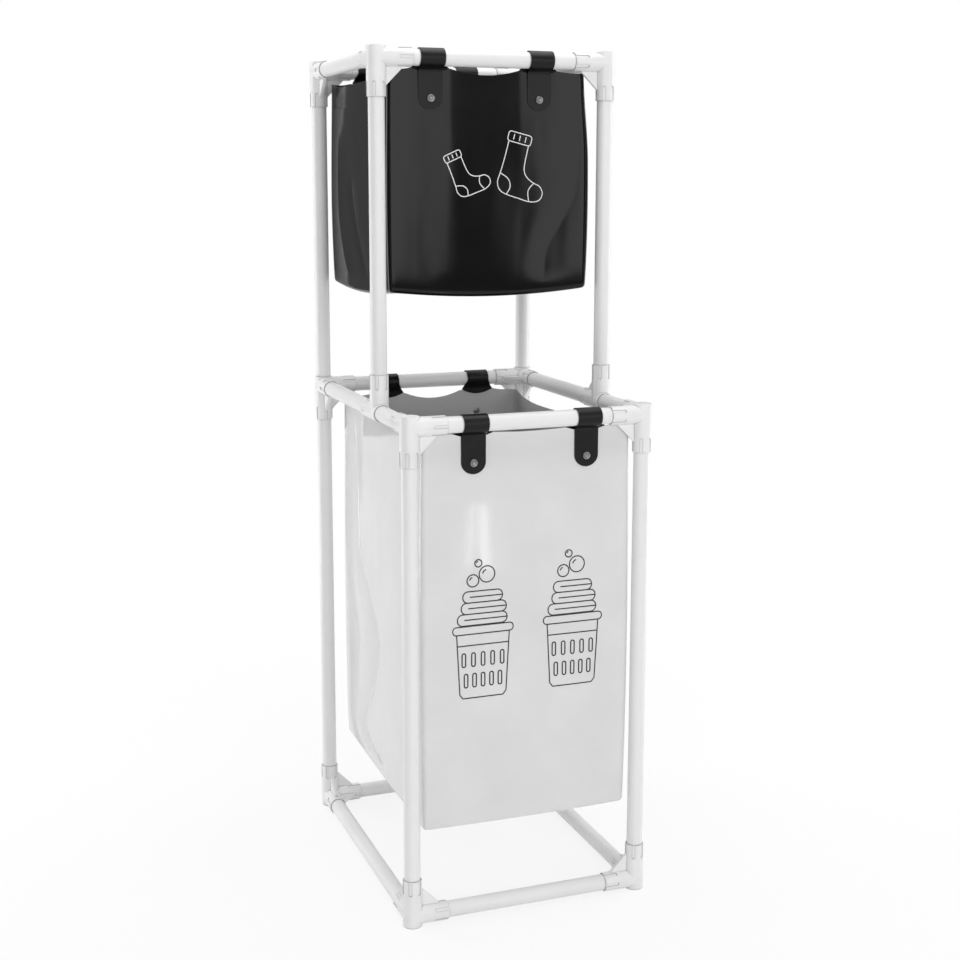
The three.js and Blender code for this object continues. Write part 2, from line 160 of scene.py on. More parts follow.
def smooth_step(value: float, low: float, high: float) -> float:
    """Rises smoothly from nought at low to one at high, or falls where high is below low."""
    t = min(max((value - low) / (high - low), 0.0), 1.0)
    return t * t * (3 - 2 * t)


def bend(start: float, middle: float, end: float, t: float) -> float:
    """Returns a parabola's height at t, from its heights at nought, at a half and at one."""
    return start + (end - start) * t + (middle - (start + end) / 2) * 4 * t * (1 - t)


def smooth_run(points: Sequence[Point], parts: int) -> list[Vector]:
    """Runs a smooth line through points.

    Args:
        points: The points.
        parts: How many parts the line has between two of them.

    Returns:
        The line's points.
    """
    ends = [Vector(points[0]), *map(Vector, points), Vector(points[-1])]
    line = []
    for a, b, c, d in zip(ends, ends[1:], ends[2:], ends[3:]):
        for i in range(parts):
            t = i / parts
            curve = (2 * a - 5 * b + 4 * c - d) * t * t + (3 * b - a - 3 * c + d) * t**3
            line.append((2 * b + (c - a) * t + curve) / 2)
    line.append(ends[-1])
    return line


def grown(bm: BMesh, edges: Sequence) -> tuple[list, list]:
    """Extrudes a run of edges by one row.

    Args:
        bm: The mesh.
        edges: The run.

    Returns:
        The new row's vertices and edges.
    """
    items = bmesh.ops.extrude_edge_only(bm, edges=edges)["geom"]
    verts = [item for item in items if isinstance(item, BMVert)]
    row = set(verts)
    edges = [item for item in items if isinstance(item, BMEdge) and row.issuperset(item.verts)]
    return verts, edges


def centre(node: str) -> Vector:
    """Returns the middle of a CAD node, in millimetres."""
    low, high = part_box(node)
    return (low + high) / (2 * MM)


def finish_mesh(name: str, bm: BMesh, materials: Sequence[Material]) -> Object:
    """Turns a mesh in millimetres into an object at the origin, in metres.

    Args:
        name: The object's name.
        bm: The mesh, which is freed.
        materials: Its materials, in the order of their slots.

    Returns:
        The new object.
    """
    bmesh.ops.scale(bm, vec=(MM, MM, MM), verts=bm.verts)
    for face in bm.faces:
        face.smooth = True
    mesh = bpy.data.meshes.new(name)
    bm.to_mesh(mesh)
    bm.free()
    mesh.set_sharp_from_angle(angle=SHARP_ANGLE)
    for material in materials:
        mesh.materials.append(material)
    piece = bpy.data.objects.new(name, mesh)
    bpy.context.scene.collection.objects.link(piece)
    return piece


def applied(piece: Object) -> Object:
    """Applies a piece's modifiers to its mesh and returns the piece.

    Args:
        piece: The piece.

    Returns:
        The piece.
    """
    graph = bpy.context.evaluated_depsgraph_get()
    graph.update()
    mesh = bpy.data.meshes.new_from_object(piece.evaluated_get(graph), depsgraph=graph)
    piece.modifiers.clear()
    piece.data = mesh
    mesh.set_sharp_from_angle(angle=SHARP_ANGLE)
    return piece


def spun(profile: Sequence[Point], steps: int, closed: bool) -> BMesh:
    """Spins a profile about the Z axis.

    Args:
        profile: Points as radius and height.
        steps: Steps of the full turn.
        closed: Whether the profile's last point joins its first. An open one ends on the axis.

    Returns:
        A closed solid with its faces pointing out.
    """
    bm = bmesh.new()
    verts = [bm.verts.new((radius, 0, height)) for radius, height in profile]
    pairs = list(zip(verts, verts[1:]))
    if closed:
        pairs.append((verts[-1], verts[0]))
    edges = [bm.edges.new(pair) for pair in pairs]
    geom = verts + edges
    bmesh.ops.spin(
        bm, geom=geom, cent=(0, 0, 0), axis=UP, angle=FULL_TURN, steps=steps, use_merge=True
    )
    bmesh.ops.remove_doubles(bm, verts=bm.verts, dist=MERGED)
    bmesh.ops.recalc_face_normals(bm, faces=bm.faces)
    return bm


def turned_to(direction: Vector) -> Matrix:
    """Returns the turn that takes the Z axis to a direction."""
    return UP.rotation_difference(direction).to_matrix().to_4x4()


# Materials. One function adds a node, and each finish below is one real material.

# The places of the sockets of a node that mixes two colours.
MIX_SHARE, MIX_FIRST, MIX_SECOND, MIX_RESULT = 0, 6, 7, 2
# Most of a noise's values lie between these.
NOISE_LOW, NOISE_HIGH = 0.3, 0.7
# The painted shade in the joints, a grey laid on by ambient occlusion: its colour, the open
# shares at which it is full and gone, and the rays that look for them.
SHADE_GREY = "#8C8C8C"
SHADE_FULL, SHADE_GONE = 0.4, 0.88
SHADE_RAYS = 6


def add_node(
    tree: NodeTree, kind: str, inputs: dict[str | int, object] | None = None, **settings: object
) -> Node:
    """Adds a node with its settings and links.

    Args:
        tree: The tree that takes the node.
        kind: The node's type name.
        inputs: Values or output sockets for its inputs, by name or place.
        settings: Its other properties.

    Returns:
        The new node.
    """
    node = tree.nodes.new(kind)
    for name, value in settings.items():
        setattr(node, name, value)
    for key, value in (inputs or {}).items():
        if isinstance(value, NodeSocket):
            tree.links.new(value, node.inputs[key])
        else:
            node.inputs[key].default_value = value
    return node


def new_material(name: str, **sockets: object) -> tuple[Material, NodeTree]:
    """Makes a material with a principled shader.

    Args:
        name: The material's name.
        sockets: Constants for the shader, with underscores for the spaces in their names.

    Returns:
        The material and its node tree.
    """
    material = bpy.data.materials.new(name)
    material.use_nodes = True
    shader = material.node_tree.nodes["Principled BSDF"]
    for key, value in sockets.items():
        shader.inputs[key.replace("_", " ")].default_value = value
    return material, material.node_tree


def per_metre(size: float) -> float:
    """Returns the texture scale at which one cell is a size in millimetres."""
    return 1 / (size * MM)


def link_shader(tree: NodeTree, **sockets: NodeSocket) -> None:
    """Links outputs to the principled shader's inputs, with underscores for spaces.

    Args:
        tree: The tree that has the shader.
        sockets: The outputs, by the names of the inputs.
    """
    shader = tree.nodes["Principled BSDF"]
    for key, value in sockets.items():
        tree.links.new(value, shader.inputs[key.replace("_", " ")])


def spread(tree: NodeTree, value: NodeSocket, low: float, high: float) -> NodeSocket:
    """Spreads the middle of a noise's range over the values from low to high.

    Args:
        tree: The tree.
        value: The noise.
        low: The least new value.
        high: The greatest new value.

    Returns:
        The new value.
    """
    inputs = {"Value": value, "From Min": NOISE_LOW, "From Max": NOISE_HIGH}
    inputs |= {"To Min": low, "To Max": high}
    return add_node(tree, "ShaderNodeMapRange", inputs).outputs["Result"]


def tinted(tree: NodeTree, value: NodeSocket, dark: str, light: str) -> NodeSocket:
    """Mixes two colours by a noise.

    Args:
        tree: The tree.
        value: The noise.
        dark: The colour where it is low.
        light: The colour where it is high.

    Returns:
        The mixed colour.
    """
    share = spread(tree, value, 0.0, 1.0)
    inputs = {MIX_SHARE: share, MIX_FIRST: srgb(dark), MIX_SECOND: srgb(light)}
    return add_node(tree, "ShaderNodeMix", inputs, data_type="RGBA").outputs[MIX_RESULT]


def painted_joint_shade(tree: NodeTree, colour: NodeSocket, reach: float) -> NodeSocket:
    """Paints shade into a colour: greys it near the joints, where light hardly gets in.

    Args:
        tree: The tree.
        colour: The colour without the painted shade.
        reach: How far the grey spreads from a joint, in millimetres.

    Returns:
        The colour with the painted shade.
    """
    inputs = {"Distance": reach * MM}
    # Ambient occlusion finds where near surfaces keep the light out; the grey put there is painted shade.
    rays = add_node(tree, "ShaderNodeAmbientOcclusion", inputs, samples=SHADE_RAYS)
    inputs = {"Value": rays.outputs["AO"], "From Min": SHADE_FULL, "From Max": SHADE_GONE}
    inputs |= {"To Min": 1.0, "To Max": 0.0}
    share = add_node(tree, "ShaderNodeMapRange", inputs).outputs["Result"]
    inputs = {MIX_SHARE: share, MIX_FIRST: colour, MIX_SECOND: srgb(SHADE_GREY)}
    return add_node(tree, "ShaderNodeMix", inputs, data_type="RGBA").outputs[MIX_RESULT]


@dataclass(frozen=True)
class Finish:
    """What the plastics, the cloths and the webbing share: close colours, uneven gloss, a relief.

    Attributes:
        light: The colour at its palest.
        dark: The colour at its darkest.
        gloss: The least and the greatest roughness.
        relief: Strength and depth of the pattern that stands out.
        shade_reach: How far the painted shade spreads from a joint, or nought.
    """

    light: str
    dark: str
    gloss: Pair
    relief: Pair
    shade_reach: float = 0.0

    def dress(
        self, tree: NodeTree, tone: NodeSocket, sheen: NodeSocket, height: NodeSocket
    ) -> None:
        """Gives a shader its colour, roughness and relief.

        Args:
            tree: The shader's tree.
            tone: The noise of its colour.
            sheen: The noise of its roughness.
            height: The pattern that stands out.
        """
        colour = tinted(tree, tone, self.dark, self.light)
        # Painted shade: the colour greys near the joints, where ambient occlusion finds little light.
        if self.shade_reach > 0:
            colour = painted_joint_shade(tree, colour, self.shade_reach)
        strength, depth = self.relief
        inputs = {"Height": height, "Strength": strength, "Distance": depth * MM}
        normal = add_node(tree, "ShaderNodeBump", inputs).outputs["Normal"]
        roughness = spread(tree, sheen, *self.gloss)
        link_shader(tree, Base_Color=colour, Roughness=roughness, Normal=normal)


@dataclass(frozen=True)
class MouldedPolypropylene(Finish):
    """Injection-moulded polypropylene: satin white, with a fine spark-eroded grain.

    The grain breaks up the highlight, and slow flow marks shift the gloss a little from place to
    place. The real grain is near 0.1 mm, and is drawn coarser so that it shows.

    Attributes:
        grain: Size of the grain.
        flow: Size of the flow marks.
    """

    light: str = "#EFEFEF"
    dark: str = "#EAEAEA"
    gloss: Pair = (0.32, 0.42)
    relief: Pair = (0.12, 0.05)
    # Reach of the painted shade in the joints, in millimetres.
    shade_reach: float = 1.8
    grain: float = 0.5
    flow: float = 30.0

    def material(self) -> Material:
        """Builds the material.

        Returns:
            The material.
        """
        material, tree = new_material("moulded_polypropylene", Roughness=0.36, IOR=1.49)
        place = add_node(tree, "ShaderNodeTexCoord").outputs["Object"]
        inputs = {"Vector": place, "Scale": per_metre(self.flow), "Detail": 2.0}
        flow = add_node(tree, "ShaderNodeTexNoise", inputs).outputs["Fac"]
        inputs = {"Vector": place, "Scale": per_metre(self.grain), "Detail": 1.0}
        grain = add_node(tree, "ShaderNodeTexNoise", inputs).outputs["Fac"]
        self.dress(tree, flow, flow, grain)
        return material


@dataclass(frozen=True)
class ExtrudedPvc(Finish):
    """Extruded rigid PVC tube: smoother than the mouldings, with faint draw lines along its run.

    The lines stretch the highlight lengthwise. They lie about 2 mm apart and run for some 200 mm.

    Attributes:
        line: Distance between the draw lines.
        run: Length of a draw line.
        patch: Size of the patches of its colour.
    """

    light: str = "#EDEDED"
    dark: str = "#EAEAEA"
    gloss: Pair = (0.36, 0.38)
    relief: Pair = (0.02, 0.01)
    # Reach of the painted shade beside the joints, in millimetres.
    shade_reach: float = 2.6
    line: float = 2.0
    run: float = 220.0
    patch: float = 60.0

    def material(self, axis: Run) -> Material:
        """Builds the material for tubes that run one way.

        Args:
            axis: The axis of the tubes.

        Returns:
            The material.
        """
        name = f"extruded_pvc_{axis.name.lower()}"
        material, tree = new_material(name, Roughness=0.37, IOR=1.53)
        place = add_node(tree, "ShaderNodeTexCoord").outputs["Object"]
        stretch = [per_metre(self.line)] * 3
        stretch[axis.value] = per_metre(self.run)
        inputs = {"Vector": place, "Scale": stretch}
        drawn = add_node(tree, "ShaderNodeMapping", inputs).outputs["Vector"]
        inputs = {"Vector": drawn, "Scale": 1.0, "Detail": 2.0}
        lines = add_node(tree, "ShaderNodeTexNoise", inputs).outputs["Fac"]
        inputs = {"Vector": place, "Scale": per_metre(self.patch), "Detail": 2.0}
        tone = add_node(tree, "ShaderNodeTexNoise", inputs).outputs["Fac"]
        self.dress(tree, tone, lines, lines)
        return material


@dataclass(frozen=True, kw_only=True)
class CoatedOxford(Finish):
    """Oxford cloth with a glossy coat outside and a matt backing inside.

    The coat nearly fills the weave, so the threads show only as a fine tooth in the highlight, and
    slow changes in the coat's thickness make the sheen uneven. The threads lie near 0.4 mm apart
    and are drawn at 1 mm, so that they show.

    Attributes:
        name: The material's name.
        backing: The inside's colour.
        specular: The level of its specular reflection.
        thread: Width of a drawn thread.
        patch: Size of the coat's uneven patches.
        backing_relief: Strength and depth of the weave inside.
    """

    name: str
    backing: str
    specular: float
    relief: Pair = (0.04, 0.05)
    thread: float = 1.0
    patch: float = 70.0
    backing_relief: Pair = (0.25, 0.1)

    def _weave(self, tree: NodeTree) -> NodeSocket:
        """Returns the height of a plain weave that follows the cloth.

        Args:
            tree: The tree.

        Returns:
            The height.
        """
        place = add_node(tree, "ShaderNodeUVMap", uv_map="cloth").outputs["UV"]
        inputs = {"Vector": place, "Scale": per_metre(self.thread) / FULL_TURN, "Distortion": 0.0}
        heights = {
            i: add_node(tree, "ShaderNodeTexWave", inputs, bands_direction=axis).outputs["Fac"]
            for i, axis in enumerate("XY")
        }
        return add_node(tree, "ShaderNodeMath", heights, operation="MULTIPLY").outputs["Value"]

    def outside(self) -> Material:
        """Builds the coated side.

        Returns:
            The material.
        """
        name, middle = f"{self.name}_coated", sum(self.gloss) / 2
        sockets = {"Roughness": middle, "IOR": 1.5, "Specular_IOR_Level": self.specular}
        material, tree = new_material(name, **sockets)
        place = add_node(tree, "ShaderNodeTexCoord").outputs["Object"]
        inputs = {"Vector": place, "Scale": per_metre(self.patch), "Detail": 3.0}
        patch = add_node(tree, "ShaderNodeTexNoise", inputs).outputs["Fac"]
        self.dress(tree, patch, patch, self._weave(tree))
        return material

    def inside(self) -> Material:
        """Builds the matt backing.

        Returns:
            The material.
        """
        name, colour = f"{self.name}_backing", srgb(self.backing)
        sockets = {"Roughness": 0.8, "IOR": 1.45, "Specular_IOR_Level": self.specular}
        material, tree = new_material(name, Base_Color=colour, **sockets)
        strength, depth = self.backing_relief
        inputs = {"Height": self._weave(tree), "Strength": strength, "Distance": depth * MM}
        link_shader(tree, Normal=add_node(tree, "ShaderNodeBump", inputs).outputs["Normal"])
        return material


@dataclass(frozen=True)
class CoatedWebbing(Finish):
    """Black webbing under a soft vinyl coat: near black, satin, with a fine leather-like grain.

    Attributes:
        grain: Size of a cell of the grain.
        patch: Size of the patches of its colour and gloss.
    """

    light: str = "#0E0E0F"
    dark: str = "#09090A"
    gloss: Pair = (0.28, 0.4)
    relief: Pair = (0.25, 0.08)
    grain: float = 0.9
    patch: float = 12.0

    def material(self) -> Material:
        """Builds the material.

        Returns:
            The material.
        """
        sockets = {"Roughness": 0.34, "IOR": 1.5, "Specular_IOR_Level": 0.24}
        material, tree = new_material("coated_webbing", **sockets)
        place = add_node(tree, "ShaderNodeTexCoord").outputs["Object"]
        inputs = {"Vector": place, "Scale": per_metre(self.grain)}
        grain = add_node(tree, "ShaderNodeTexVoronoi", inputs).outputs["Distance"]
        inputs = {"Vector": place, "Scale": per_metre(self.patch), "Detail": 3.0}
        tone = add_node(tree, "ShaderNodeTexNoise", inputs).outputs["Fac"]
        self.dress(tree, tone, tone, grain)
        return material


@dataclass(frozen=True)
class NickelPlate:
    """Stamped brass under dull nickel: a soft grey metal, with fine handling marks in its gloss.

    Attributes:
        light: Its colour at its palest.
        dark: Its colour at its darkest.
        gloss: Its least and greatest roughness.
        mark: Size of the handling marks.
    """

    light: str = "#96969A"
    dark: str = "#6C6C6E"
    gloss: Pair = (0.24, 0.42)
    mark: float = 1.5

    def material(self) -> Material:
        """Builds the material.

        Returns:
            The material.
        """
        material, tree = new_material("nickel_plate", Metallic=1.0, Roughness=0.32)
        place = add_node(tree, "ShaderNodeTexCoord").outputs["Object"]
        inputs = {"Vector": place, "Scale": per_metre(self.mark), "Detail": 4.0}
        marks = add_node(tree, "ShaderNodeTexNoise", inputs).outputs["Fac"]
        link_shader(
            tree,
            Base_Color=tinted(tree, marks, self.dark, self.light),
            Roughness=spread(tree, marks, *self.gloss),
        )
        return material


@dataclass(frozen=True)
class ScreenInk:
    """Screen-printed ink: a thin matt film whose cover varies a little with the cloth under it.

    Attributes:
        name: The material's name.
        solid: Its colour where it covers well.
        thin: Its colour where the cloth shows through.
        cover: Size of the changes in its cover.
    """

    name: str
    solid: str
    thin: str
    cover: float = 1.2

    def material(self) -> Material:
        """Builds the material.

        Returns:
            The material.
        """
        material, tree = new_material(f"screen_ink_{self.name}", Roughness=0.55, IOR=1.5)
        place = add_node(tree, "ShaderNodeTexCoord").outputs["Object"]
        inputs = {"Vector": place, "Scale": per_metre(self.cover), "Detail": 2.0}
        cover = add_node(tree, "ShaderNodeTexNoise", inputs).outputs["Fac"]
        link_shader(tree, Base_Color=tinted(tree, cover, self.thin, self.solid))
        return material


# The frame.


@dataclass(frozen=True)
class Axes:
    """The axes of the frame's tubes, in millimetres.

    Attributes:
        side: Distance of the posts from the middle, across.
        lower_front: Front of the lower tier.
        upper_front: Front of the upper tier.
        rear: Rear of both tiers.
        base: Level of the base rails.
        mid: Level of the rails between the tiers.
        top: Level of the top rails.
    """

    side: float
    lower_front: float
    upper_front: float
    rear: float
    base: float
    mid: float
    top: float

    @classmethod
    def read(cls) -> "Axes":
        """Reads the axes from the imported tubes."""
        front_post = centre("lower_post_front_right")
        return cls(
            side=front_post.x,
            lower_front=front_post.y,
            upper_front=centre("upper_post_front_right").y,
            rear=centre("lower_post_rear_right").y,
            base=centre("base_rail_front").z,
            mid=centre("mid_rail_front").z,
            top=centre("top_rail_front").z,
        )


@dataclass
class Tubes:
    """All the frame's tubes, each an extruded ring with broken end edges.

    Attributes:
        wall: Their wall.
        broken_edge: Width of a broken edge.
        steps: Steps round a tube.
        finish: Their material.
    """

    wall: float = 1.6
    broken_edge: float = 0.35
    steps: int = 64
    finish: ExtrudedPvc = field(default_factory=ExtrudedPvc)

    def _tube(self, node: str, materials: dict[Run, Material]) -> Object:
        """Builds the tube that stands for one node.

        Args:
            node: The CAD node.
            materials: The finish for each run.

        Returns:
            The tube.
        """
        low, high = (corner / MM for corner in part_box(node))
        size = high - low
        run = max(Run, key=lambda axis: size[axis.value])
        length = size[run.value]
        radius = max(size[axis.value] for axis in Run if axis is not run) / 2
        edge = self.broken_edge
        profile = [
            (radius - self.wall, edge),
            (radius - self.wall + edge, 0),
            (radius - edge, 0),
            (radius, edge),
            (radius, length - edge),
            (radius - edge, length),
            (radius - self.wall + edge, length),
            (radius - self.wall, length - edge),
        ]
        bm = spun(profile, self.steps, closed=True)
        start = (low + high) / 2
        start[run.value] = low[run.value]
        direction = Vector([float(axis is run) for axis in Run])
        matrix = Matrix.Translation(start) @ turned_to(direction)
        bmesh.ops.transform(bm, matrix=matrix, verts=bm.verts)
        return finish_mesh(f"tube_{node}", bm, [materials[run]])

    def build(self) -> None:
        """Builds every tube, on the frame."""
        materials = {run: self.finish.material(run) for run in Run}
        names = [name for name in frame["nodes"] if "_rail_" in name or "_post_" in name]
        for name in sorted(names):
            tube = self._tube(name, materials)
            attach(tube, FRAME_BODY)
            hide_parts(name)
        log.info("tubes: %d", len(names))


@dataclass(frozen=True)
class Leg:
    """One leg of a connector: its direction, and how far its mouth is from the hub's centre."""

    direction: Vector
    length: float


@dataclass
class Connectors:
    """The moulded push-fit connectors, four forms turned to fourteen places.

    Attributes:
        axes: The frame's axes.
        riser: From a hub's centre to the mouth of an upright leg.
        rail: From a hub's centre to the mouth of a level leg.
        outer: Radius outside.
        bore: Radius of a socket.
        hub_end: From a hub's centre to its far end.
        socket: Depth of a leg's socket.
        hub_socket: Depth of a socket in a hub's far end.
        gusset: How far a gusset reaches along a leg, from the other leg's outside.
        web: Thickness of a gusset.
        slot_width: Width of a slot.
        slot_length: Its length.
        slot_depth: Its depth.
        slot_round: Radius of its inner corners, as a share of its width.
        slots: Slots round a leg.
        slot_clearance: From a gusset to a slot that faces it.
        rounding: Radius of the rounded edges.
        relief: Radius of a socket at its mouth.
        relief_depth: How deep the mouth keeps that radius.
        overrun: How far a cutter stands out of what it cuts.
        steps: Steps round a leg.
        finish: Their material.
    """

    axes: Axes
    riser: float = 47.0
    rail: float = 44.0
    outer: float = 11.8
    bore: float = 10.3
    hub_end: float = 13.0
    socket: float = 30.0
    hub_socket: float = 22.0
    gusset: float = 22.0
    web: float = 4.5
    slot_width: float = 4.5
    slot_length: float = 18.0
    slot_depth: float = 1.0
    slot_round: float = 0.47
    slots: int = 6
    slot_clearance: float = 0.7
    rounding: float = 0.45
    relief: float = 10.55
    relief_depth: float = 3.0
    overrun: float = 1.0
    steps: int = 72
    finish: MouldedPolypropylene = field(default_factory=MouldedPolypropylene)

    def _barrel(self, leg: Leg, start: float) -> BMesh:
        """Builds a leg's outside, rounded at both ends.

        Args:
            leg: The leg.
            start: Where it starts, from the hub's centre.

        Returns:
            The solid.
        """
        soft = self.rounding
        turns = (0, math.pi / 4, math.pi / 2)
        arc = [(soft * math.sin(turn), soft * math.cos(turn)) for turn in turns]
        foot = [(self.outer - soft + out, start + soft - along) for out, along in arc]
        mouth = [(self.outer - soft + out, leg.length - soft + up) for out, up in reversed(arc)]
        bm = spun([(0, start), *foot, *mouth, (0, leg.length)], self.steps, closed=False)
        bmesh.ops.transform(bm, matrix=turned_to(leg.direction), verts=bm.verts)
        return bm

    def _gusset(self, first: Leg, second: Leg) -> BMesh:
        """Builds the web between two legs, its free edge rounded.

        Args:
            first: A leg.
            second: Another, square to it.

        Returns:
            The solid.
        """
        reach = self.outer + self.gusset
        outline = [(0, 0), (reach, 0), (reach, self.outer), (self.outer, reach), (0, reach)]
        bm = bmesh.new()
        face = bm.faces.new([bm.verts.new((x, y, -self.web / 2)) for x, y in outline])
        raised = bmesh.ops.extrude_face_region(bm, geom=[face])["geom"]
        top = [item for item in raised if isinstance(item, BMVert)]
        bmesh.ops.translate(bm, vec=(0, 0, self.web), verts=top)
        bmesh.ops.recalc_face_normals(bm, faces=bm.faces)
        free = [
            edge
            for edge in bm.edges
            if all(vert.co.x + vert.co.y > reach + self.outer - 1 for vert in edge.verts)
            and abs(edge.verts[0].co.z - edge.verts[1].co.z) < 1
        ]
        soft = self.rounding
        bmesh.ops.bevel(
            bm, geom=free, offset=soft, segments=3, profile=0.5, affect="EDGES", material=-1
        )
        normal = first.direction.cross(second.direction)
        basis = Matrix((first.direction, second.direction, normal)).transposed().to_4x4()
        bmesh.ops.transform(bm, matrix=basis, verts=bm.verts)
        return bm

    def _bore(self, direction: Vector, floor: float, mouth: float) -> BMesh:
        """Builds the cutter of one socket, wider at its mouth so that a tube finds its way in.

        Args:
            direction: Where the socket opens.
            floor: Distance of its floor from the hub's centre.
            mouth: Distance of its mouth.

        Returns:
            The solid.
        """
        taper = self.relief - self.bore
        profile = [
            (0, floor),
            (self.bore, floor),
            (self.bore, mouth - self.relief_depth - taper),
            (self.relief, mouth - self.relief_depth),
            (self.relief, mouth + self.overrun),
            (0, mouth + self.overrun),
        ]
        bm = spun(profile, self.steps, closed=False)
        bmesh.ops.transform(bm, matrix=turned_to(direction), verts=bm.verts)
        return bm

    def _slot(self, leg: Leg, turn: float, others: Sequence[Leg]) -> BMesh:
        """Builds the cutter of one relief slot: open at the mouth, with a round inner end.

        Args:
            leg: The leg that it cuts.
            turn: Its place around the leg, in radians.
            others: The other legs. A slot that faces one starts beyond their gusset.

        Returns:
            The solid.
        """
        matrix = turned_to(leg.direction) @ Matrix.Rotation(turn, 4, UP)
        faced = any((matrix @ RIGHT).dot(other.direction) > 0.99 for other in others)
        beyond = leg.length - self.outer - self.gusset - self.slot_clearance
        length = (beyond if faced else self.slot_length) + self.overrun
        height = self.slot_depth + self.overrun
        bm = bmesh.new()
        bmesh.ops.create_cube(bm, size=1)
        bmesh.ops.scale(bm, vec=(height, self.slot_width, length), verts=bm.verts)
        out = self.outer - self.slot_depth + height / 2
        middle = Vector((out, 0, leg.length + self.overrun - length / 2))
        bmesh.ops.translate(bm, vec=middle, verts=bm.verts)
        inner = [edge for edge in bm.edges if all(vert.co.z < middle.z for vert in edge.verts)]
        ends = [edge for edge in inner if abs(edge.verts[0].co.x - edge.verts[1].co.x) > height / 2]
        soft = self.slot_width * self.slot_round
        bmesh.ops.bevel(
            bm, geom=ends, offset=soft, segments=6, profile=0.5, affect="EDGES", material=-1
        )
        bmesh.ops.transform(bm, matrix=matrix, verts=bm.verts)
        return bm

    def _combined(self, base: Object, parts: Sequence[BMesh], operation: str) -> Object:
        """Joins parts to a base, or cuts them from it, exactly.

        Args:
            base: The base.
            parts: The parts, which are freed.
            operation: UNION or DIFFERENCE.

        Returns:
            The base.
        """
        tools = bpy.data.collections.new("tools")
        bpy.context.scene.collection.children.link(tools)
        for bm in parts:
            tool = finish_mesh("tool", bm, [])
            bpy.context.scene.collection.objects.unlink(tool)
            tools.objects.link(tool)
        modifier = base.modifiers.new("combine", "BOOLEAN")
        modifier.operation = operation
        modifier.solver = "EXACT"
        modifier.operand_type = "COLLECTION"
        modifier.collection = tools
        applied(base)
        for tool in list(tools.objects):
            bpy.data.objects.remove(tool)
        bpy.data.collections.remove(tools)
        return base

    def _moulding(self, form: Form, legs: Sequence[Leg]) -> Object:
        """Builds one form about its hub's centre.

        Args:
            form: The form. A cross or a tee has a socket at its spine's far end too.
            legs: Its legs, the spine first.

        Returns:
            The form, in metres.
        """
        spine, *others = legs
        whole = finish_mesh(form.value, self._barrel(spine, -self.hub_end), [])
        solids = [self._barrel(leg, 0) for leg in others]
        solids += [self._gusset(a, b) for i, a in enumerate(legs) for b in legs[i + 1 :]]
        self._combined(whole, solids, "UNION")
        cutters = [self._bore(leg.direction, leg.length - self.socket, leg.length) for leg in legs]
        if form in (Form.CROSS, Form.TEE):
            floor = self.hub_end - self.hub_socket
            cutters.append(self._bore(-spine.direction, floor, self.hub_end))
        for leg in legs:
            others = [other for other in legs if other is not leg]
            start = 0.5 if leg is spine and form is Form.TURNED_CORNER else 0.0
            turns = [FULL_TURN * (start + i) / self.slots for i in range(self.slots)]
            cutters += [self._slot(leg, turn, others) for turn in turns]
        return self._combined(whole, cutters, "DIFFERENCE")

    def _places(self) -> list[tuple[str, Form, Vector, Matrix]]:
        """Lists each connector's node, form, hub and turn.

        Returns:
            The list.
        """
        axes = self.axes
        over = Matrix.Rotation(math.pi, 4, (RIGHT + BACK).normalized())
        places = []
        levels = (
            ("base", axes.base, axes.lower_front, False),
            ("mid", axes.mid, axes.lower_front, True),
            ("top", axes.top, axes.upper_front, True),
        )
        for level, height, front, hanging in levels:
            rear_form = Form.CROSS if level == "mid" else Form.CORNER
            rear_turn = 0 if level == "mid" else -1
            corners = (
                ("front_left", -axes.side, front, 0, Form.CORNER),
                ("front_right", axes.side, front, 1, Form.CORNER),
                ("rear_left", -axes.side, axes.rear, rear_turn, rear_form),
                ("rear_right", axes.side, axes.rear, rear_turn - 1, rear_form),
            )
            for place, x, y, quarters, form in corners:
                turn = Matrix.Rotation(quarters * math.pi / 2, 4, UP)
                if form is Form.CORNER:
                    turn = turn @ over if hanging else turn
                    # Every upright leg has two slots half a step to each side of its front.
                    form = Form.TURNED_CORNER if (quarters % 2 == 1) is not hanging else form
                places.append((f"{level}_corner_{place}", form, Vector((x, y, height)), turn))
        for place, x in (("left", -axes.side), ("right", axes.side)):
            hub = Vector((x, axes.upper_front, axes.mid))
            places.append((f"mid_tee_{place}", Form.TEE, hub, Matrix()))
        return places

    def build(self) -> None:
        """Builds every connector, on the frame."""
        corner = [Leg(UP, self.riser), Leg(RIGHT, self.rail), Leg(BACK, self.rail)]
        legs = {
            Form.CORNER: corner,
            Form.TURNED_CORNER: corner,
            Form.CROSS: [Leg(DOWN, self.riser), Leg(RIGHT, self.rail), Leg(FRONT, self.rail)],
            Form.TEE: [Leg(BACK, self.rail), Leg(UP, self.riser)],
        }
        forms = {form: self._moulding(form, legs[form]) for form in Form}
        material = self.finish.material()
        places = self._places()
        for node, form, hub, turn in places:
            piece = forms[form].copy()
            piece.data = forms[form].data.copy()
            piece.name = f"connector_{node}"
            piece.data.transform(Matrix.Translation(hub * MM) @ turn)
            piece.data.materials.append(material)
            bpy.context.scene.collection.objects.link(piece)
            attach(piece, FRAME_BODY)
            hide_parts(node)
        for form in forms.values():
            bpy.data.objects.remove(form)
        log.info("connectors: %d", len(places))


# The bags.

# An outward direction lies along an axis where its part along that axis is above this.
STRAIGHT = 0.999
# The cloth's waves: their size across, their size down, and their share of the height.
WAVES = ((95, 95, 1.0), (34, 210, 0.55), (16, 60, 0.12))

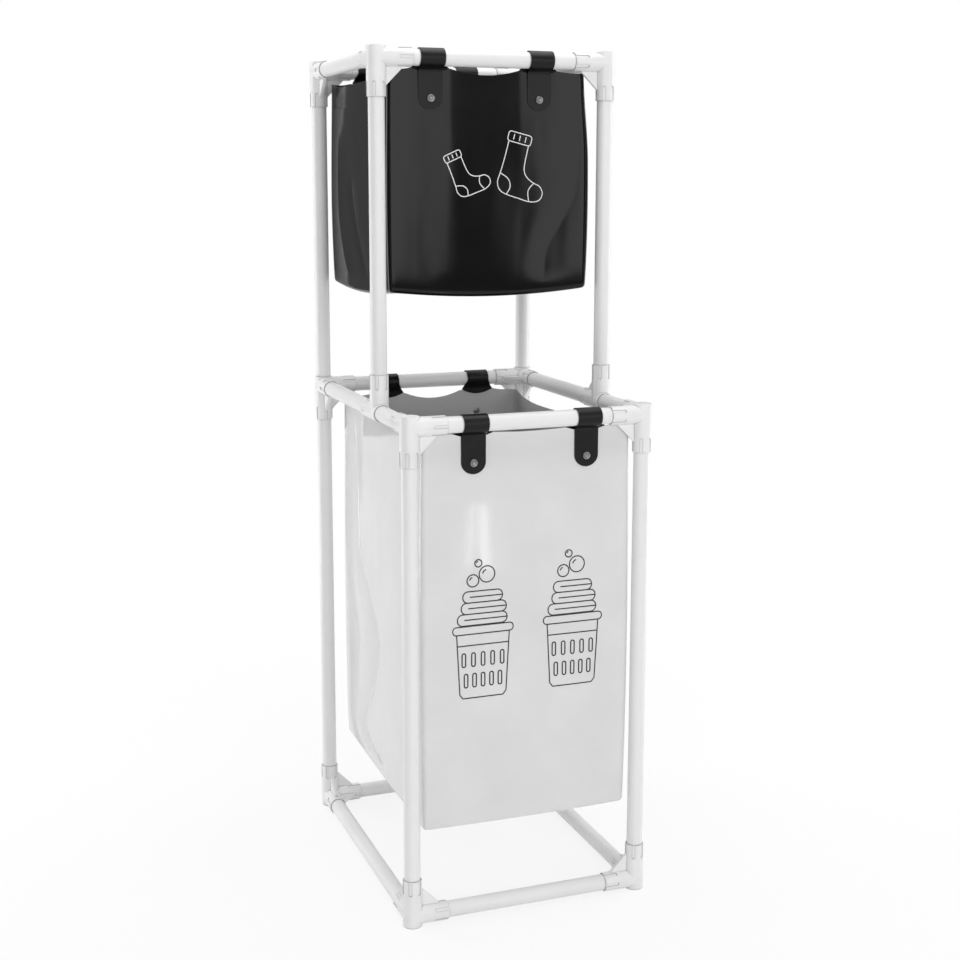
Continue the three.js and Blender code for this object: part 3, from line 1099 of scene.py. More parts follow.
@dataclass(frozen=True)
class Crease:
    """A fold line in one panel, where the cloth stands out or is pressed in.

    Attributes:
        facing: The panel.
        path: Points of the line, each across the panel and above the floor, in millimetres.
        height: How far the line stands out. Below nought it is pressed in.
        left: Width of the slope on the left of the line's run.
        right: Width of the slope on its right.
        fade: Share of the line's length over which each end dies away.
    """

    facing: Facing
    path: tuple[Point, ...]
    height: float
    left: float
    right: float
    fade: float = 0.2

    def points(self) -> list[Vector]:
        """Returns the line as a smooth run of points."""
        return smooth_run(self.path, parts=5)

    def offset(self, line: Sequence[Vector], across: float, level: float) -> float:
        """Returns how far the cloth stands out at a place on the panel.

        Args:
            line: The points that points() returned.
            across: The place across the panel.
            level: Its height above the floor.

        Returns:
            The offset in millimetres.
        """
        place = Vector((across, level))
        best = None
        for i, (start, end) in enumerate(zip(line, line[1:])):
            step = end - start
            along = min(max((place - start).dot(step) / step.length_squared, 0.0), 1.0)
            gap = place - (start + step * along)
            if best is None or gap.length < best[0]:
                side = step.x * gap.y - step.y * gap.x
                best = (gap.length, side, (i + along) / (len(line) - 1))
        distance, side, share = best
        width = self.left if side > 0 else self.right
        slope = max(1 - distance / width, 0.0) ** 2
        ends = smooth_step(share, 0.0, self.fade) * smooth_step(share, 1.0, 1.0 - self.fade)
        return self.height * slope * ends


Lines = Sequence[tuple[Crease, list[Vector]]]


@dataclass(frozen=True)
class Corners:
    """Radii of a bag's upright edges, in millimetres."""

    front_left: float
    front_right: float
    rear_left: float
    rear_right: float


@dataclass(frozen=True)
class Outline:
    """A bag seen from above: a rectangle with round corners, from its rear's middle by its left.

    Attributes:
        half_x: Half its width.
        half_y: Half its depth.
        corners: Radii of its corners.
        skew: How much further out the left panel stands at its rear.
    """

    half_x: float
    half_y: float
    corners: Corners
    skew: float

    def stations(
        self, panels: tuple[int, int, int, int], corner: int
    ) -> list[tuple[Vector, Vector]]:
        """Divides the outline, finely in its corners.

        Args:
            panels: Divisions of half the rear, of the left, of the front and of the right panel.
            corner: Divisions of a corner.

        Returns:
            Each place with its outward direction.
        """
        rear, left, front, right = panels
        radii = self.corners
        turns = (
            (-1, 1, radii.rear_left, 90, left),
            (-1, -1, radii.front_left, 180, front),
            (1, -1, radii.front_right, 270, right),
            (1, 1, radii.rear_right, 0, rear),
        )
        start = Vector((0, self.half_y, 0))
        places = [(start, BACK.copy())]
        divisions = rear
        for x, y, radius, angle, next_divisions in turns:
            middle = Vector((x * (self.half_x - radius), y * (self.half_y - radius), 0))
            out = Matrix.Rotation(math.radians(angle), 3, UP) @ RIGHT
            end = middle + out * radius
            previous = places[-1][0]
            places += [(previous.lerp(end, i / divisions), out.copy()) for i in range(1, divisions)]
            for i in range(corner + 1):
                turned = Matrix.Rotation(math.radians(90 * i / corner), 3, UP) @ out
                places.append((middle + turned * radius, turned))
            divisions = next_divisions
        last = places[-1][0]
        places += [(last.lerp(start, i / rear), BACK.copy()) for i in range(1, rear)]
        for place, _ in places:
            near = smooth_step(place.x, 0.0, -self.half_x) * (place.y + self.half_y)
            place.x -= self.skew * near / (2 * self.half_y)
        return places


@dataclass(frozen=True)
class Rim:
    """How far the rim of a bag's front or rear lies below the rails' axes, in millimetres.

    Attributes:
        ends: At the corners.
        tips: At the tips of the straps' tabs.
        middle: Halfway between the straps.
        straps: The straps' places across, from the bag's middle.
        tab_half: Half a tab's width at its tips.
        notch: How much lower the rim is in the middle of a tab.
    """

    ends: float
    tips: float
    middle: float
    straps: Pair
    tab_half: float
    notch: float = 5.0

    def drop(self, x: float, half_x: float) -> float:
        """Returns the rim's drop at a place across a bag of a given half width.

        Args:
            x: The place, from the bag's middle.
            half_x: The half width.

        Returns:
            The drop.
        """
        left, right = self.straps
        half = self.tab_half
        stops = (-half_x, left - half, left + half, right - half, right + half, half_x)
        levels = (self.ends, self.tips, self.tips, self.tips, self.tips, self.ends)
        notched = self.tips + self.notch
        for i, middle in enumerate((self.ends, notched, self.middle, notched, self.ends)):
            if x <= stops[i + 1]:
                t = max((x - stops[i]) / (stops[i + 1] - stops[i]), 0.0)
                return bend(levels[i], middle, levels[i + 1], t)
        return self.ends


@dataclass
class ClothBag:
    """A bag of coated cloth, hung open from its rim.

    Attributes:
        node: The CAD node that it stands for.
        level: Height of the rails' axes.
        middle: The tier's middle from front to rear.
        shift: The bag's middle across.
        half_x: Half its width.
        half_y: Half its depth.
        drop: From the rails' axes down to its floor.
        corners: Radii of its upright edges.
        front_rim: The rim of its front panel.
        rear_rim: The rim of its rear panel.
        side_rims: The drop in the middle of the left and of the right panel's rim.
        edge_sag: How much lower the floor's edge is between the corners.
        skew: How much further out the left panel stands at its rear.
        drawn_in: How far the front right corner is drawn in at the rim.
        belly: How far the panels stand out at half height.
        creases: Fold lines.
        ripple: Height of the cloth's slow waves.
        finish: Its cloth.
        slot: The name of its material slot. It is not used.
        edge_radius: Radius of the rounding between its walls and its floor.
        floor_sag: How much lower the floor's middle is than its edge.
        cloth: Thickness of the cloth.
        side_even: How evenly a side rim hangs between its corners: the greater, the straighter.
        belly_rise: How far up the panels stand out most. At one it is half way.
        fold_turn: How square to a panel the cloth is where its folds start and are whole.
        calm_rim: Depths below the rim at which the folds start and are whole.
        calm_foot: Height above the floor at which they are whole.
        rim_folds: Their share near the rim.
        rim_depth: Depth below the rim at which they have that share.
        drawn_from: Where the drawn corner starts, as a share of half the width.
        drawn_reach: Depth below the rim at which the drawn corner is back in place.
        floor_wave: Size of the floor's waves.
        floor_ripple: Their height, as a share of the walls'.
        panels: Divisions of half the rear, of the left, of the front and of the right panel.
        corner_parts: Divisions of a corner.
        rows: Rows of the walls.
        edge_rows: Rows of the rounding.
        floor_rows: Rows of the floor.
        surface: The cloth's outside, once it is built.
    """

    node: str
    level: float
    middle: float
    shift: float
    half_x: float
    half_y: float
    drop: float
    corners: Corners
    front_rim: Rim
    rear_rim: Rim
    side_rims: Pair
    edge_sag: float
    skew: float
    drawn_in: float
    belly: float
    creases: tuple[Crease, ...]
    ripple: float
    finish: CoatedOxford
    slot: str
    edge_radius: float = 5.0
    floor_sag: float = 4.0
    cloth: float = 1.2
    side_even: int = 6
    belly_rise: float = 0.8
    fold_turn: Pair = (0.7, 0.98)
    calm_rim: Pair = (25, 80)
    calm_foot: float = 30
    rim_folds: float = 0.25
    rim_depth: float = 20
    drawn_from: float = 0.4
    drawn_reach: float = 110
    floor_wave: float = 60
    floor_ripple: float = 0.5
    panels: tuple[int, int, int, int] = (22, 104, 106, 36)
    corner_parts: int = 8
    rows: int = 118
    edge_rows: int = 6
    floor_rows: int = 12
    surface: BVHTree | None = None

    def _rim(self, place: Vector, out: Vector) -> float:
        """Returns the rim's height at a place of the outline.

        Args:
            place: The place.
            out: Its outward direction.

        Returns:
            The height.
        """
        end_rim = self.front_rim if place.y < 0 else self.rear_rim
        if abs(out.y) > STRAIGHT:
            return self.level - end_rim.drop(place.x, self.half_x)
        if abs(out.x) < STRAIGHT:
            return self.level - end_rim.ends
        left = out.x < 0
        front = self.corners.front_left if left else self.corners.front_right
        rear = self.corners.rear_left if left else self.corners.rear_right
        t = (place.y + self.half_y - front) / (2 * self.half_y - front - rear)
        first, last = self.front_rim.ends, self.rear_rim.ends
        straight = first + (last - first) * t
        hang = self.side_rims[0 if left else 1] - (first + last) / 2
        return self.level - straight - hang * (1 - abs(2 * t - 1) ** self.side_even)

    def _edge_level(self, place: Vector) -> float:
        """Returns the height of the floor's edge under a place of the outline."""
        corner = (place.x / self.half_x) ** 2 * (place.y / self.half_y) ** 2
        return self.level - self.drop - self.edge_sag * (1 - corner)

    def _folds(self, point: Vector, out: Vector, lines: Lines) -> float:
        """Returns how far the cloth's folds and waves stand out at a point.

        Args:
            point: The point.
            out: Its outward direction.
            lines: Each crease with its points.

        Returns:
            The distance in millimetres.
        """
        total = 0.0
        for crease, line in lines:
            share = smooth_step(out.dot(crease.facing.outward()), *self.fold_turn)
            if share > 0:
                total += share * crease.offset(line, crease.facing.across(point), point.z)
        waves = [
            share * noise.noise(Vector((point.x / across, point.y / across, point.z / down)))
            for across, down, share in WAVES
        ]
        return total + self.ripple * sum(waves)

    def _wall_point(self, place: Vector, out: Vector, share: float, lines: Lines) -> Vector:
        """Returns a point of the wall, a share of the way from the floor's rounding to the rim.

        Args:
            place: The place of the outline.
            out: Its outward direction.
            share: The share.
            lines: Each crease with its points.

        Returns:
            The point.
        """
        foot = self._edge_level(place) + self.edge_radius
        rim = self._rim(place, out)
        z = foot + (rim - foot) * share
        depth = rim - z
        origin = Vector((self.shift, self.middle, 0))
        point = origin + Vector((place.x, place.y, z))
        swell = self.belly * math.sin(math.pi * share**self.belly_rise)
        start, whole = self.calm_rim
        calm = smooth_step(depth, start, whole) * smooth_step(z - foot, 0, self.calm_foot)
        edge = smooth_step(depth, whole, start) * smooth_step(depth, 0, self.rim_depth)
        folds = self._folds(point, out, lines)
        point += out * (swell + (calm + edge * self.rim_folds) * folds)
        near = smooth_step(place.x, self.drawn_from * self.half_x, self.half_x)
        near *= smooth_step(place.y, 0.0, -self.half_y)
        point.x -= self.drawn_in * near * smooth_step(depth, self.drawn_reach, 0)
        return point

    def _low_point(self, place: Vector, out: Vector, turn: float, inward: float) -> Vector:
        """Returns a point of the floor's rounding or of the floor.

        Args:
            place: The place of the outline.
            out: Its outward direction.
            turn: The rounding's angle, from a quarter turn at the wall to nought at the floor.
            inward: Share of the way from the rounding to the floor's middle.

        Returns:
            The point.
        """
        radius = self.edge_radius
        edge = self._edge_level(place)
        origin = Vector((self.shift, self.middle, 0))
        flat = (Vector((place.x, place.y, 0)) - out * radius * (1 - math.sin(turn))) * (1 - inward)
        sag = self.floor_sag * (1 - (1 - inward) ** 2)
        level = self.level - self.drop - self.edge_sag
        rounded = edge + radius * (1 - math.cos(turn))
        height = rounded * (1 - inward) + level * inward - sag
        share = self.floor_ripple * inward * (1 - inward)
        wave = self.ripple * share * noise.noise(flat / self.floor_wave)
        return origin + Vector((flat.x, flat.y, height + wave))

    def _shell(self) -> BMesh:
        """Builds the cloth as one open sheet, from its rim down to the middle of its floor.

        Returns:
            The sheet.
        """
        outline = Outline(self.half_x, self.half_y, self.corners, self.skew)
        stations = outline.stations(self.panels, self.corner_parts)
        lines = [(crease, crease.points()) for crease in self.creases]
        bm = bmesh.new()
        bmesh.ops.create_circle(bm, cap_ends=False, radius=1, segments=len(stations))
        bm.verts.ensure_lookup_table()
        number = bm.verts.layers.int.new("station")
        row = bm.verts.layers.float.new("row")
        for i, vert in enumerate(bm.verts):
            vert[number] = i
        shares = [1 - i / self.rows for i in range(self.rows)]
        turns = [math.pi / 2 * (1 - i / self.edge_rows) for i in range(self.edge_rows)]
        inwards = [i / self.floor_rows for i in range(self.floor_rows)]
        makers: list[Callable[[Vector, Vector], Vector]] = []
        makers += [lambda p, n, s=share: self._wall_point(p, n, s, lines) for share in shares]
        makers += [lambda p, n, t=turn: self._low_point(p, n, t, 0.0) for turn in turns]
        makers += [lambda p, n, w=inward: self._low_point(p, n, 0.0, w) for inward in inwards]
        verts = list(bm.verts)
        edges = list(bm.edges)
        for depth, maker in enumerate(makers):
            if depth > 0:
                verts, edges = grown(bm, edges)
            for vert in verts:
                vert.co = maker(*stations[vert[number]])
                vert[row] = depth
        bmesh.ops.contextual_create(bm, geom=edges)
        return bm

    def _lay_cloth(self, bm: BMesh) -> None:
        """Writes the cloth's own map: metres around the bag, and metres down it.

        Args:
            bm: The sheet.
        """
        number = bm.verts.layers.int["station"]
        row = bm.verts.layers.float["row"]
        around = 4 * (self.half_x + self.half_y) * MM
        count = 1 + max(vert[number] for vert in bm.verts)
        down = self.drop * MM / self.rows
        layer = bm.loops.layers.uv.new("cloth")
        for face in bm.faces:
            shares = [loop.vert[number] / count for loop in face.loops]
            wraps = max(shares) - min(shares) > 0.5
            for loop, share in zip(face.loops, shares):
                whole = share + 1 if wraps and share < 0.5 else share
                loop[layer].uv = (whole * around, -loop.vert[row] * down)

    def build(self) -> None:
        """Builds the bag, on the frame."""
        bm = self._shell()
        self._lay_cloth(bm)
        bmesh.ops.recalc_face_normals(bm, faces=bm.faces)
        bm.faces.ensure_lookup_table()
        first = bm.faces[0]
        middle = Vector((self.shift, self.middle, self.level))
        if first.normal.dot(first.calc_center_median() - middle) < 0:
            bmesh.ops.reverse_faces(bm, faces=bm.faces)
        self.surface = BVHTree.FromBMesh(bm)
        materials = [self.finish.outside(), self.finish.inside()]
        piece = finish_mesh(f"{self.node}_cloth", bm, materials)
        wall = piece.modifiers.new("cloth", "SOLIDIFY")
        wall.thickness = self.cloth * MM
        wall.offset = -1
        wall.material_offset = 1
        applied(piece)
        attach(piece, FRAME_BODY)
        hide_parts(self.node)
        log.info("%s: %d faces", self.node, len(piece.data.polygons))


# The straps and their snaps.

# The snap's turned pieces, each as radius and height from the axis at its face back to the axis.
CAP = (
    (0, 0.6), (1.4, 0.65), (2.2, 0.95), (2.7, 1.65), (3.4, 2.1), (4.1, 2.15),
    (4.6, 1.85), (4.95, 1.2), (5.05, 0.5), (4.9, -0.1), (0, -0.1),
)
SOCKET = (
    (0, -0.1), (4.6, -0.1), (4.7, 0.25), (4.3, 0.55),
    (3.4, 0.6), (2.7, 0.45), (2.4, 0.1), (0, 0.1),
)
STUD = (
    (0, 1.35), (1.2, 1.3), (1.8, 1.0), (1.95, 0.6), (1.7, 0.35),
    (2.2, 0.25), (3.4, 0.2), (3.6, 0), (0, 0),
)
RIVET = ((0, 0.9), (2.4, 0.8), (4.0, 0.5), (4.6, 0.1), (4.6, 0), (0, 0))

@dataclass
class Strap:
    """One strap: sewn inside the bag, over the rail and down outside it to its snap.

    Its drawing has u running outwards from the rail's axis, away from the bag, and w running up.

    Attributes:
        tier: Which bag it holds.
        end: Front or rear.
        side: Left or right.
        webbing: Its finish.
        metal: The snap's finish.
        half: Half its width.
        thickness: Its thickness.
        radius: Radius of its arc over the rail.
        joins: Where on the arc flap and tab meet, in degrees from the outward side.
        tab_leaves: Where the tab leaves the arc.
        flap_leaves: Where the flap leaves it.
        tab_plane: The u of the tab, sewn inside the bag.
        flap_plane: The u of the flap.
        flap_bottom: The w of the flap's round end.
        flap_round: How far up that end is round.
        round_end: Where its outline stops, in degrees.
        flare_level: The w at which the tab starts to flare.
        flare_power: How the flare grows: one is straight, and more is hollow.
        patch_foot: How far the patch's foot bows down in its middle.
        bend: Length of the bends off the arc.
        bend_most: The most of the way to the plane that a bend takes up.
        snap_level: The w of the snap.
        stud_plane: The u of the stud's foot on the bag.
        bag_wall: From there to the rivet's face inside.
        blend_above: The w above the rail's axis where the flap's turn starts.
        blend_below: The w where it is whole.
        edge_width: Width of its soft edges.
        edge_angle: The least angle of an edge that is softened, in degrees.
        welded: Points nearer than this are one.
        columns: Columns across it.
        rows: Rows of a straight run.
        steps: Steps along a small bend.
        round_steps: Steps along the round end.
        foot_rows: Rows of the patch's foot.
        turned_steps: Steps round the snap.
    """

    tier: str
    end: str
    side: str
    webbing: Material
    metal: Material
    half: float = 15.5
    thickness: float = 1.5
    radius: float = 11.05
    joins: float = 168.0
    tab_leaves: float = 222.0
    flap_leaves: float = -62.0
    tab_plane: float = -5.55
    flap_plane: float = -1.95
    flap_bottom: float = -61.0
    flap_round: float = 14.5
    flare_level: float = -1.0
    round_end: float = 88.5
    flare_power: float = 1.3
    patch_foot: float = 6.5
    bend: float = 3.5
    bend_most: float = 0.9
    snap_level: float = -47.5
    stud_plane: float = -3.0
    bag_wall: float = 1.25
    blend_above: float = 2.0
    blend_below: float = -3.0
    edge_width: float = 0.35
    edge_angle: float = 50
    welded: float = 0.02
    columns: int = 12
    rows: int = 8
    steps: int = 6
    round_steps: int = 12
    foot_rows: int = 4
    turned_steps: int = 40

    def __post_init__(self) -> None:
        """Finds the strap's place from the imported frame."""
        self.name = f"{self.tier}_{self.end}_{self.side}"
        self.flap_body = f"{self.tier}_flap_{self.end}_{self.side}"
        self.tab_node = f"{self.tier}_strap_tab_{self.end}_{self.side}"
        self.flap_node = f"{self.tier}_strap_flap_{self.end}_{self.side}"
        level = "mid" if self.tier == "lower" else "top"
        rail = centre(f"{level}_rail_{self.end}")
        self.origin = Vector((centre(self.flap_node).x, rail.y, rail.z))
        self.outward = FRONT if self.end == "front" else BACK
        low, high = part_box(self.tab_node)
        self.patch_half = (high.x - low.x) / (2 * MM)
        self.patch_level = low.z / MM + self.patch_foot - self.origin.z

    def place(self, across: float, u: float, w: float) -> Vector:
        """Turns a point of the drawing into one of the hamper."""
        return self.origin + RIGHT * across + self.outward * u + UP * w

    def _arc(self, start: float, end: float, step: float = 5.0) -> Stroke:
        """Returns points of the strap's arc over the rail, between two angles in degrees.

        Args:
            start: The first angle, from the outward side.
            end: The last angle.
            step: The greatest step between two points.

        Returns:
            The points.
        """
        count = math.ceil(abs(end - start) / step)
        angles = [math.radians(start + (end - start) * i / count) for i in range(count + 1)]
        return [(self.radius * math.cos(angle), self.radius * math.sin(angle)) for angle in angles]

    def _bent_to(self, degrees: float, plane: float, clockwise: bool) -> tuple[Stroke, float]:
        """Follows the strap straight off its arc and round a small bend into an upright plane.

        Args:
            degrees: Where it leaves the arc.
            plane: The plane's u.
            clockwise: Whether the arc ran clockwise.

        Returns:
            The points, and the level of the last.
        """
        angle = math.radians(degrees)
        start = Vector((self.radius * math.cos(angle), self.radius * math.sin(angle)))
        along = Vector((math.sin(angle), -math.cos(angle))) * (1 if clockwise else -1)
        corner = start + along * ((plane - start.x) / along.x)
        before = corner - along * min(self.bend, (corner - start).length * self.bend_most)
        after = corner + Vector((0, -self.bend))
        shares = [i / self.steps for i in range(self.steps + 1)]
        curve = [before.lerp(corner, t).lerp(corner.lerp(after, t), t) for t in shares]
        return [(point.x, point.y) for point in curve], after.y

    def _ribbon(
        self,
        name: str,
        stations: Sequence[tuple[float, float, float]],
        sink: Callable[[float], float] | None,
    ) -> Object:
        """Builds a ribbon along stations.

        Args:
            name: The piece's name.
            stations: Each station's u, w and half width.
            sink: For the last station, how far below it the foot lies at a place across, if curved.

        Returns:
            The piece, with its thickness and soft edges.
        """
        bm = bmesh.new()
        u, w, half = stations[0]
        shares = [2 * i / self.columns - 1 for i in range(self.columns + 1)]
        verts = [bm.verts.new(self.place(share * half, u, w)) for share in shares]
        share_layer = bm.verts.layers.float.new("share")
        verts = list(bm.verts)
        for vert, share in zip(verts, shares):
            vert[share_layer] = share
        edges = [bm.edges.new(pair) for pair in zip(verts, verts[1:])]
        rows = [(u, w, half, 0.0) for u, w, half in stations[1:]]
        if sink is not None:
            u, w, half = stations[-1]
            rows += [(u, w, half, (i + 1) / self.foot_rows) for i in range(self.foot_rows)]
        for u, w, half, foot in rows:
            verts, edges = grown(bm, edges)
            for vert in verts:
                share = vert[share_layer]
                lower = foot * sink(share) if sink is not None else 0.0
                vert.co = self.place(share * half, u, w - lower)
        bmesh.ops.remove_doubles(bm, verts=bm.verts, dist=self.welded)
        bmesh.ops.recalc_face_normals(bm, faces=bm.faces)
        piece = finish_mesh(name, bm, [self.webbing])
        wall = piece.modifiers.new("webbing", "SOLIDIFY")
        wall.thickness = self.thickness * MM
        wall.offset = 0
        edge = piece.modifiers.new("edge", "BEVEL")
        edge.width = self.edge_width * MM
        edge.segments = 2
        edge.limit_method = "ANGLE"
        edge.angle_limit = math.radians(self.edge_angle)
        return applied(piece)

    def _flap(self) -> Object:
        """Builds the strap from the back of the rail, over it and down to the flap's round end.

        Returns:
            The strap.
        """
        curve, level = self._bent_to(self.flap_leaves, self.flap_plane, clockwise=True)
        run = self._arc(self.joins, self.flap_leaves) + curve
        stations = [(u, w, self.half) for u, w in run]
        straight = self.flap_bottom + self.flap_round
        for i in range(1, self.rows + 1):
            w = level + (straight - level) * i / self.rows
            stations.append((self.flap_plane, w, self.half))
        for i in range(1, self.round_steps + 1):
            angle = math.radians(self.round_end * i / self.round_steps)
            depth = self.flap_round * math.sin(angle)
            stations.append((self.flap_plane, straight - depth, self.half * math.cos(angle)))
        return self._ribbon(f"strap_{self.name}", stations, None)

    def _patch(self) -> Object:
        """Builds the tab's inner end, which flares to the patch sewn inside the bag.

        Returns:
            The patch.
        """
        curve, level = self._bent_to(self.tab_leaves, self.tab_plane, clockwise=False)
        run = self._arc(self.joins, self.tab_leaves) + curve
        stations = [(u, w, self._patch_half(w)) for u, w in run]
        for i in range(1, self.rows + 1):
            w = level + (self.patch_level - level) * i / self.rows
            stations.append((self.tab_plane, w, self._patch_half(w)))
        name = f"strap_patch_{self.name}"
        return self._ribbon(name, stations, lambda share: self.patch_foot * (1 - share * share))

    def _patch_half(self, w: float) -> float:
        """Returns half the tab's width at a level: even over the rail, then flaring to its tips.

        Args:
            w: The level.

        Returns:
            The half width.
        """
        share = (self.flare_level - w) / (self.flare_level - self.patch_level)
        share = min(max(share, 0.0), 1.0)
        return self.half + (self.patch_half - self.half) * share**self.flare_power

    def _turned(self, name: str, profile: Sequence[Point], u: float, sign: float) -> Object:
        """Builds a spun metal piece of the snap.

        Args:
            name: The piece's name.
            profile: Its radius and height, from the axis at its face back to the axis.
            u: The plane that it stands on.
            sign: One where it faces away from the bag, and minus one where it faces in.

        Returns:
            The piece.
        """
        bm = spun(profile, self.turned_steps, closed=False)
        middle = Matrix.Translation(self.place(0, u, self.snap_level))
        bmesh.ops.transform(bm, matrix=middle @ turned_to(self.outward * sign), verts=bm.verts)
        return finish_mesh(f"{name}_{self.name}", bm, [self.metal])

    def _snap(self) -> None:
        """Builds the snap: cap and socket on the flap, stud and rivet head on the bag."""
        outer, inner = (self.flap_plane + sign * self.thickness / 2 for sign in (1, -1))
        for name, profile, u, sign, body in (
            ("snap_cap", CAP, outer, 1, self.flap_body),
            ("snap_socket", SOCKET, inner, -1, self.flap_body),
            ("snap_stud", STUD, self.stud_plane, 1, FRAME_BODY),
            ("snap_rivet", RIVET, self.stud_plane - self.bag_wall, -1, FRAME_BODY),
        ):
            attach(self._turned(name, profile, u, sign), body)

    def build(self) -> None:
        """Builds the strap, its patch and its snap."""
        flap = self._flap()
        start = self.place(0, 0, self.blend_above) * MM
        end = self.place(0, 0, self.blend_below) * MM
        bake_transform(flap, FRAME_BODY, self.flap_body, start=start, end=end)
        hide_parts(self.tab_node, self.flap_node)
        patch = self._patch()
        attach(patch, FRAME_BODY)
        self._snap()
        log.info("strap: %s", self.name)


# The prints. Each is a plain line drawing of laundry, in strokes laid on the bag's front panel.


@dataclass
class Print:
    """Line drawings on a bag's front panel.

    Attributes:
        name: The piece's name.
        bag: The bag that carries it, already built.
        strokes: Lines, each a run of points across the panel and above the floor, in millimetres.
        width: The stroke's width.
        ink: Its material.
        film: Thickness of the ink.
        lift: How far its middle lies off the cloth.
        step: Length of a part of a stroke.
    """

    name: str
    bag: ClothBag
    strokes: list[Stroke]
    width: float
    ink: Material
    film: float = 0.2
    lift: float = 0.12
    step: float = 2.0

    def _stepped(self, stroke: Sequence[Point]) -> list[Vector]:
        """Divides a stroke into short steps, so that it can follow the cloth.

        Args:
            stroke: The stroke.

        Returns:
            Its points.
        """
        line = [Vector(stroke[0])]
        for start, end in zip(map(Vector, stroke), map(Vector, stroke[1:])):
            count = max(1, round((end - start).length / self.step))
            line += [start.lerp(end, (i + 1) / count) for i in range(count)]
        return line

    def build(self) -> None:
        """Builds the drawing as a thin raised film on the cloth."""
        curve = bpy.data.curves.new(self.name, "CURVE")
        curve.dimensions = "3D"
        curve.bevel_depth = self.width / 2
        curve.bevel_resolution = 1
        curve.use_fill_caps = True
        for stroke in self.strokes:
            spline = curve.splines.new("POLY")
            closed = stroke[0] == stroke[-1]
            points = self._stepped(stroke)[: -1 if closed else None]
            spline.points.add(len(points) - 1)
            for point, place in zip(spline.points, points):
                point.co = (place.x, 0, place.y, 1)
            spline.use_cyclic_u = closed
        holder = bpy.data.objects.new(self.name, curve)
        bpy.context.scene.collection.objects.link(holder)
        graph = bpy.context.evaluated_depsgraph_get()
        mesh = bpy.data.meshes.new_from_object(holder.evaluated_get(graph))
        bpy.data.objects.remove(holder)
        bm = bmesh.new()
        bm.from_mesh(mesh)
        bpy.data.meshes.remove(mesh)
        flatten = self.film / self.width
        far = self.bag.middle - 2 * self.bag.half_y
        for vert in bm.verts:
            hit = self.bag.surface.ray_cast(Vector((vert.co.x, far, vert.co.z)), BACK)[0]
            vert.co.y = hit.y - self.lift + vert.co.y * flatten
        bmesh.ops.recalc_face_normals(bm, faces=bm.faces)
        piece = finish_mesh(self.name, bm, [self.ink])
        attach(piece, FRAME_BODY)
        log.info("%s: %d strokes", self.name, len(self.strokes))


@dataclass(frozen=True)
class Sketch:
    """A line drawing in the making, turned and scaled about its own place.

    Attributes:
        x: Its place across, in millimetres.
        z: Its place above the floor.
        size: Its scale.
        lean: Its turn, in degrees.
        strokes: The strokes drawn so far.
    """

    x: float
    z: float
    size: float = 1.0
    lean: float = 0.0
    strokes: list[Stroke] = field(default_factory=list)

    def line(self, *points: Point, smooth: bool = False, closed: bool = False) -> None:
        """Adds a stroke through points.

        Args:
            points: The points.
            smooth: Whether the stroke bends smoothly through them.
            closed: Whether it comes back to its start.
        """
        run = [*points, points[0]] if closed else list(points)
        if smooth:
            run = [(point.x, point.y) for point in smooth_run(run, parts=6)]
        turn = math.radians(self.lean)
        across, up = math.cos(turn) * self.size, math.sin(turn) * self.size
        placed = [
            (self.x + px * across - pz * up, self.z + px * up + pz * across) for px, pz in run
        ]
        if closed:
            placed[-1] = placed[0]
        self.strokes.append(placed)

    def arc(self, x: float, z: float, radius: float, start: float = 0, end: float = 360) -> None:
        """Adds an arc about a point, between two angles in degrees, or a whole ring.

        Args:
            x: The point, across.
            z: The point, up.
            radius: The arc's radius.
            start: Its first angle.
            end: Its last angle, the greater.
        """
        sweep = end - start
        steps = max(6, round(sweep / 10))
        ring = sweep == 360
        angles = [start + sweep * i / steps for i in range(steps if ring else steps + 1)]
        turns = [math.radians(angle) for angle in angles]
        points = [(x + radius * math.cos(turn), z + radius * math.sin(turn)) for turn in turns]
        self.line(*points, closed=ring)

    def box(self, x: float, z: float, width: float, height: float, corner: float) -> None:
        """Adds a box with round corners, from its middle and its size.

        Args:
            x: Its middle, across.
            z: Its middle, up.
            width: Its width.
            height: Its height.
            corner: Radius of its corners.
        """
        points = []
        for quarter in range(4):
            middle_x = x + (width / 2 - corner) * (1 if quarter in (0, 3) else -1)
            middle_z = z + (height / 2 - corner) * (1 if quarter in (0, 1) else -1)
            for i in range(5):
                angle = math.radians(90 * quarter + 90 * i / 4)
                out, up = corner * math.cos(angle), corner * math.sin(angle)
                points.append((middle_x + out, middle_z + up))
        self.line(*points, closed=True)


def basket_drawing(x: float, z: float) -> list[Stroke]:
    """Draws a laundry basket with folded towels and soap bubbles, from the middle of its foot.

    Args:
        x: The middle of its foot, across.
        z: The same, above the floor.

    Returns:
        The strokes.
    """
    sketch = Sketch(x, z)
    sketch.line((-34, 80), (-30, 5), (-26, 0), (26, 0), (30, 5), (34, 80))
    sketch.box(0, 85, 78, 10, 4.5)
    for height, gap in ((22, 11.0), (48, 12.4)):
        for column in (-2, -1, 0, 1, 2):
            sketch.box(column * gap, height, 4.6, 17, 2.2)
    sketch.line((-32.6, 66), (32.6, 66))
    for level, left, right in ((98, -33, 31), (112, -28, 30), (126, -26, 25)):
        sketch.box((left + right) / 2, level, right - left, 14, 6.5)
        sketch.line((left + 9, level), (right, level))
    for bubble_x, bubble_z, radius in ((-13, 146, 7.5), (5, 153, 10), (-6, 167, 4.5)):
        sketch.arc(bubble_x, bubble_z, radius)
        sketch.arc(bubble_x, bubble_z, radius * 0.55, 100, 170)
    return sketch.strokes


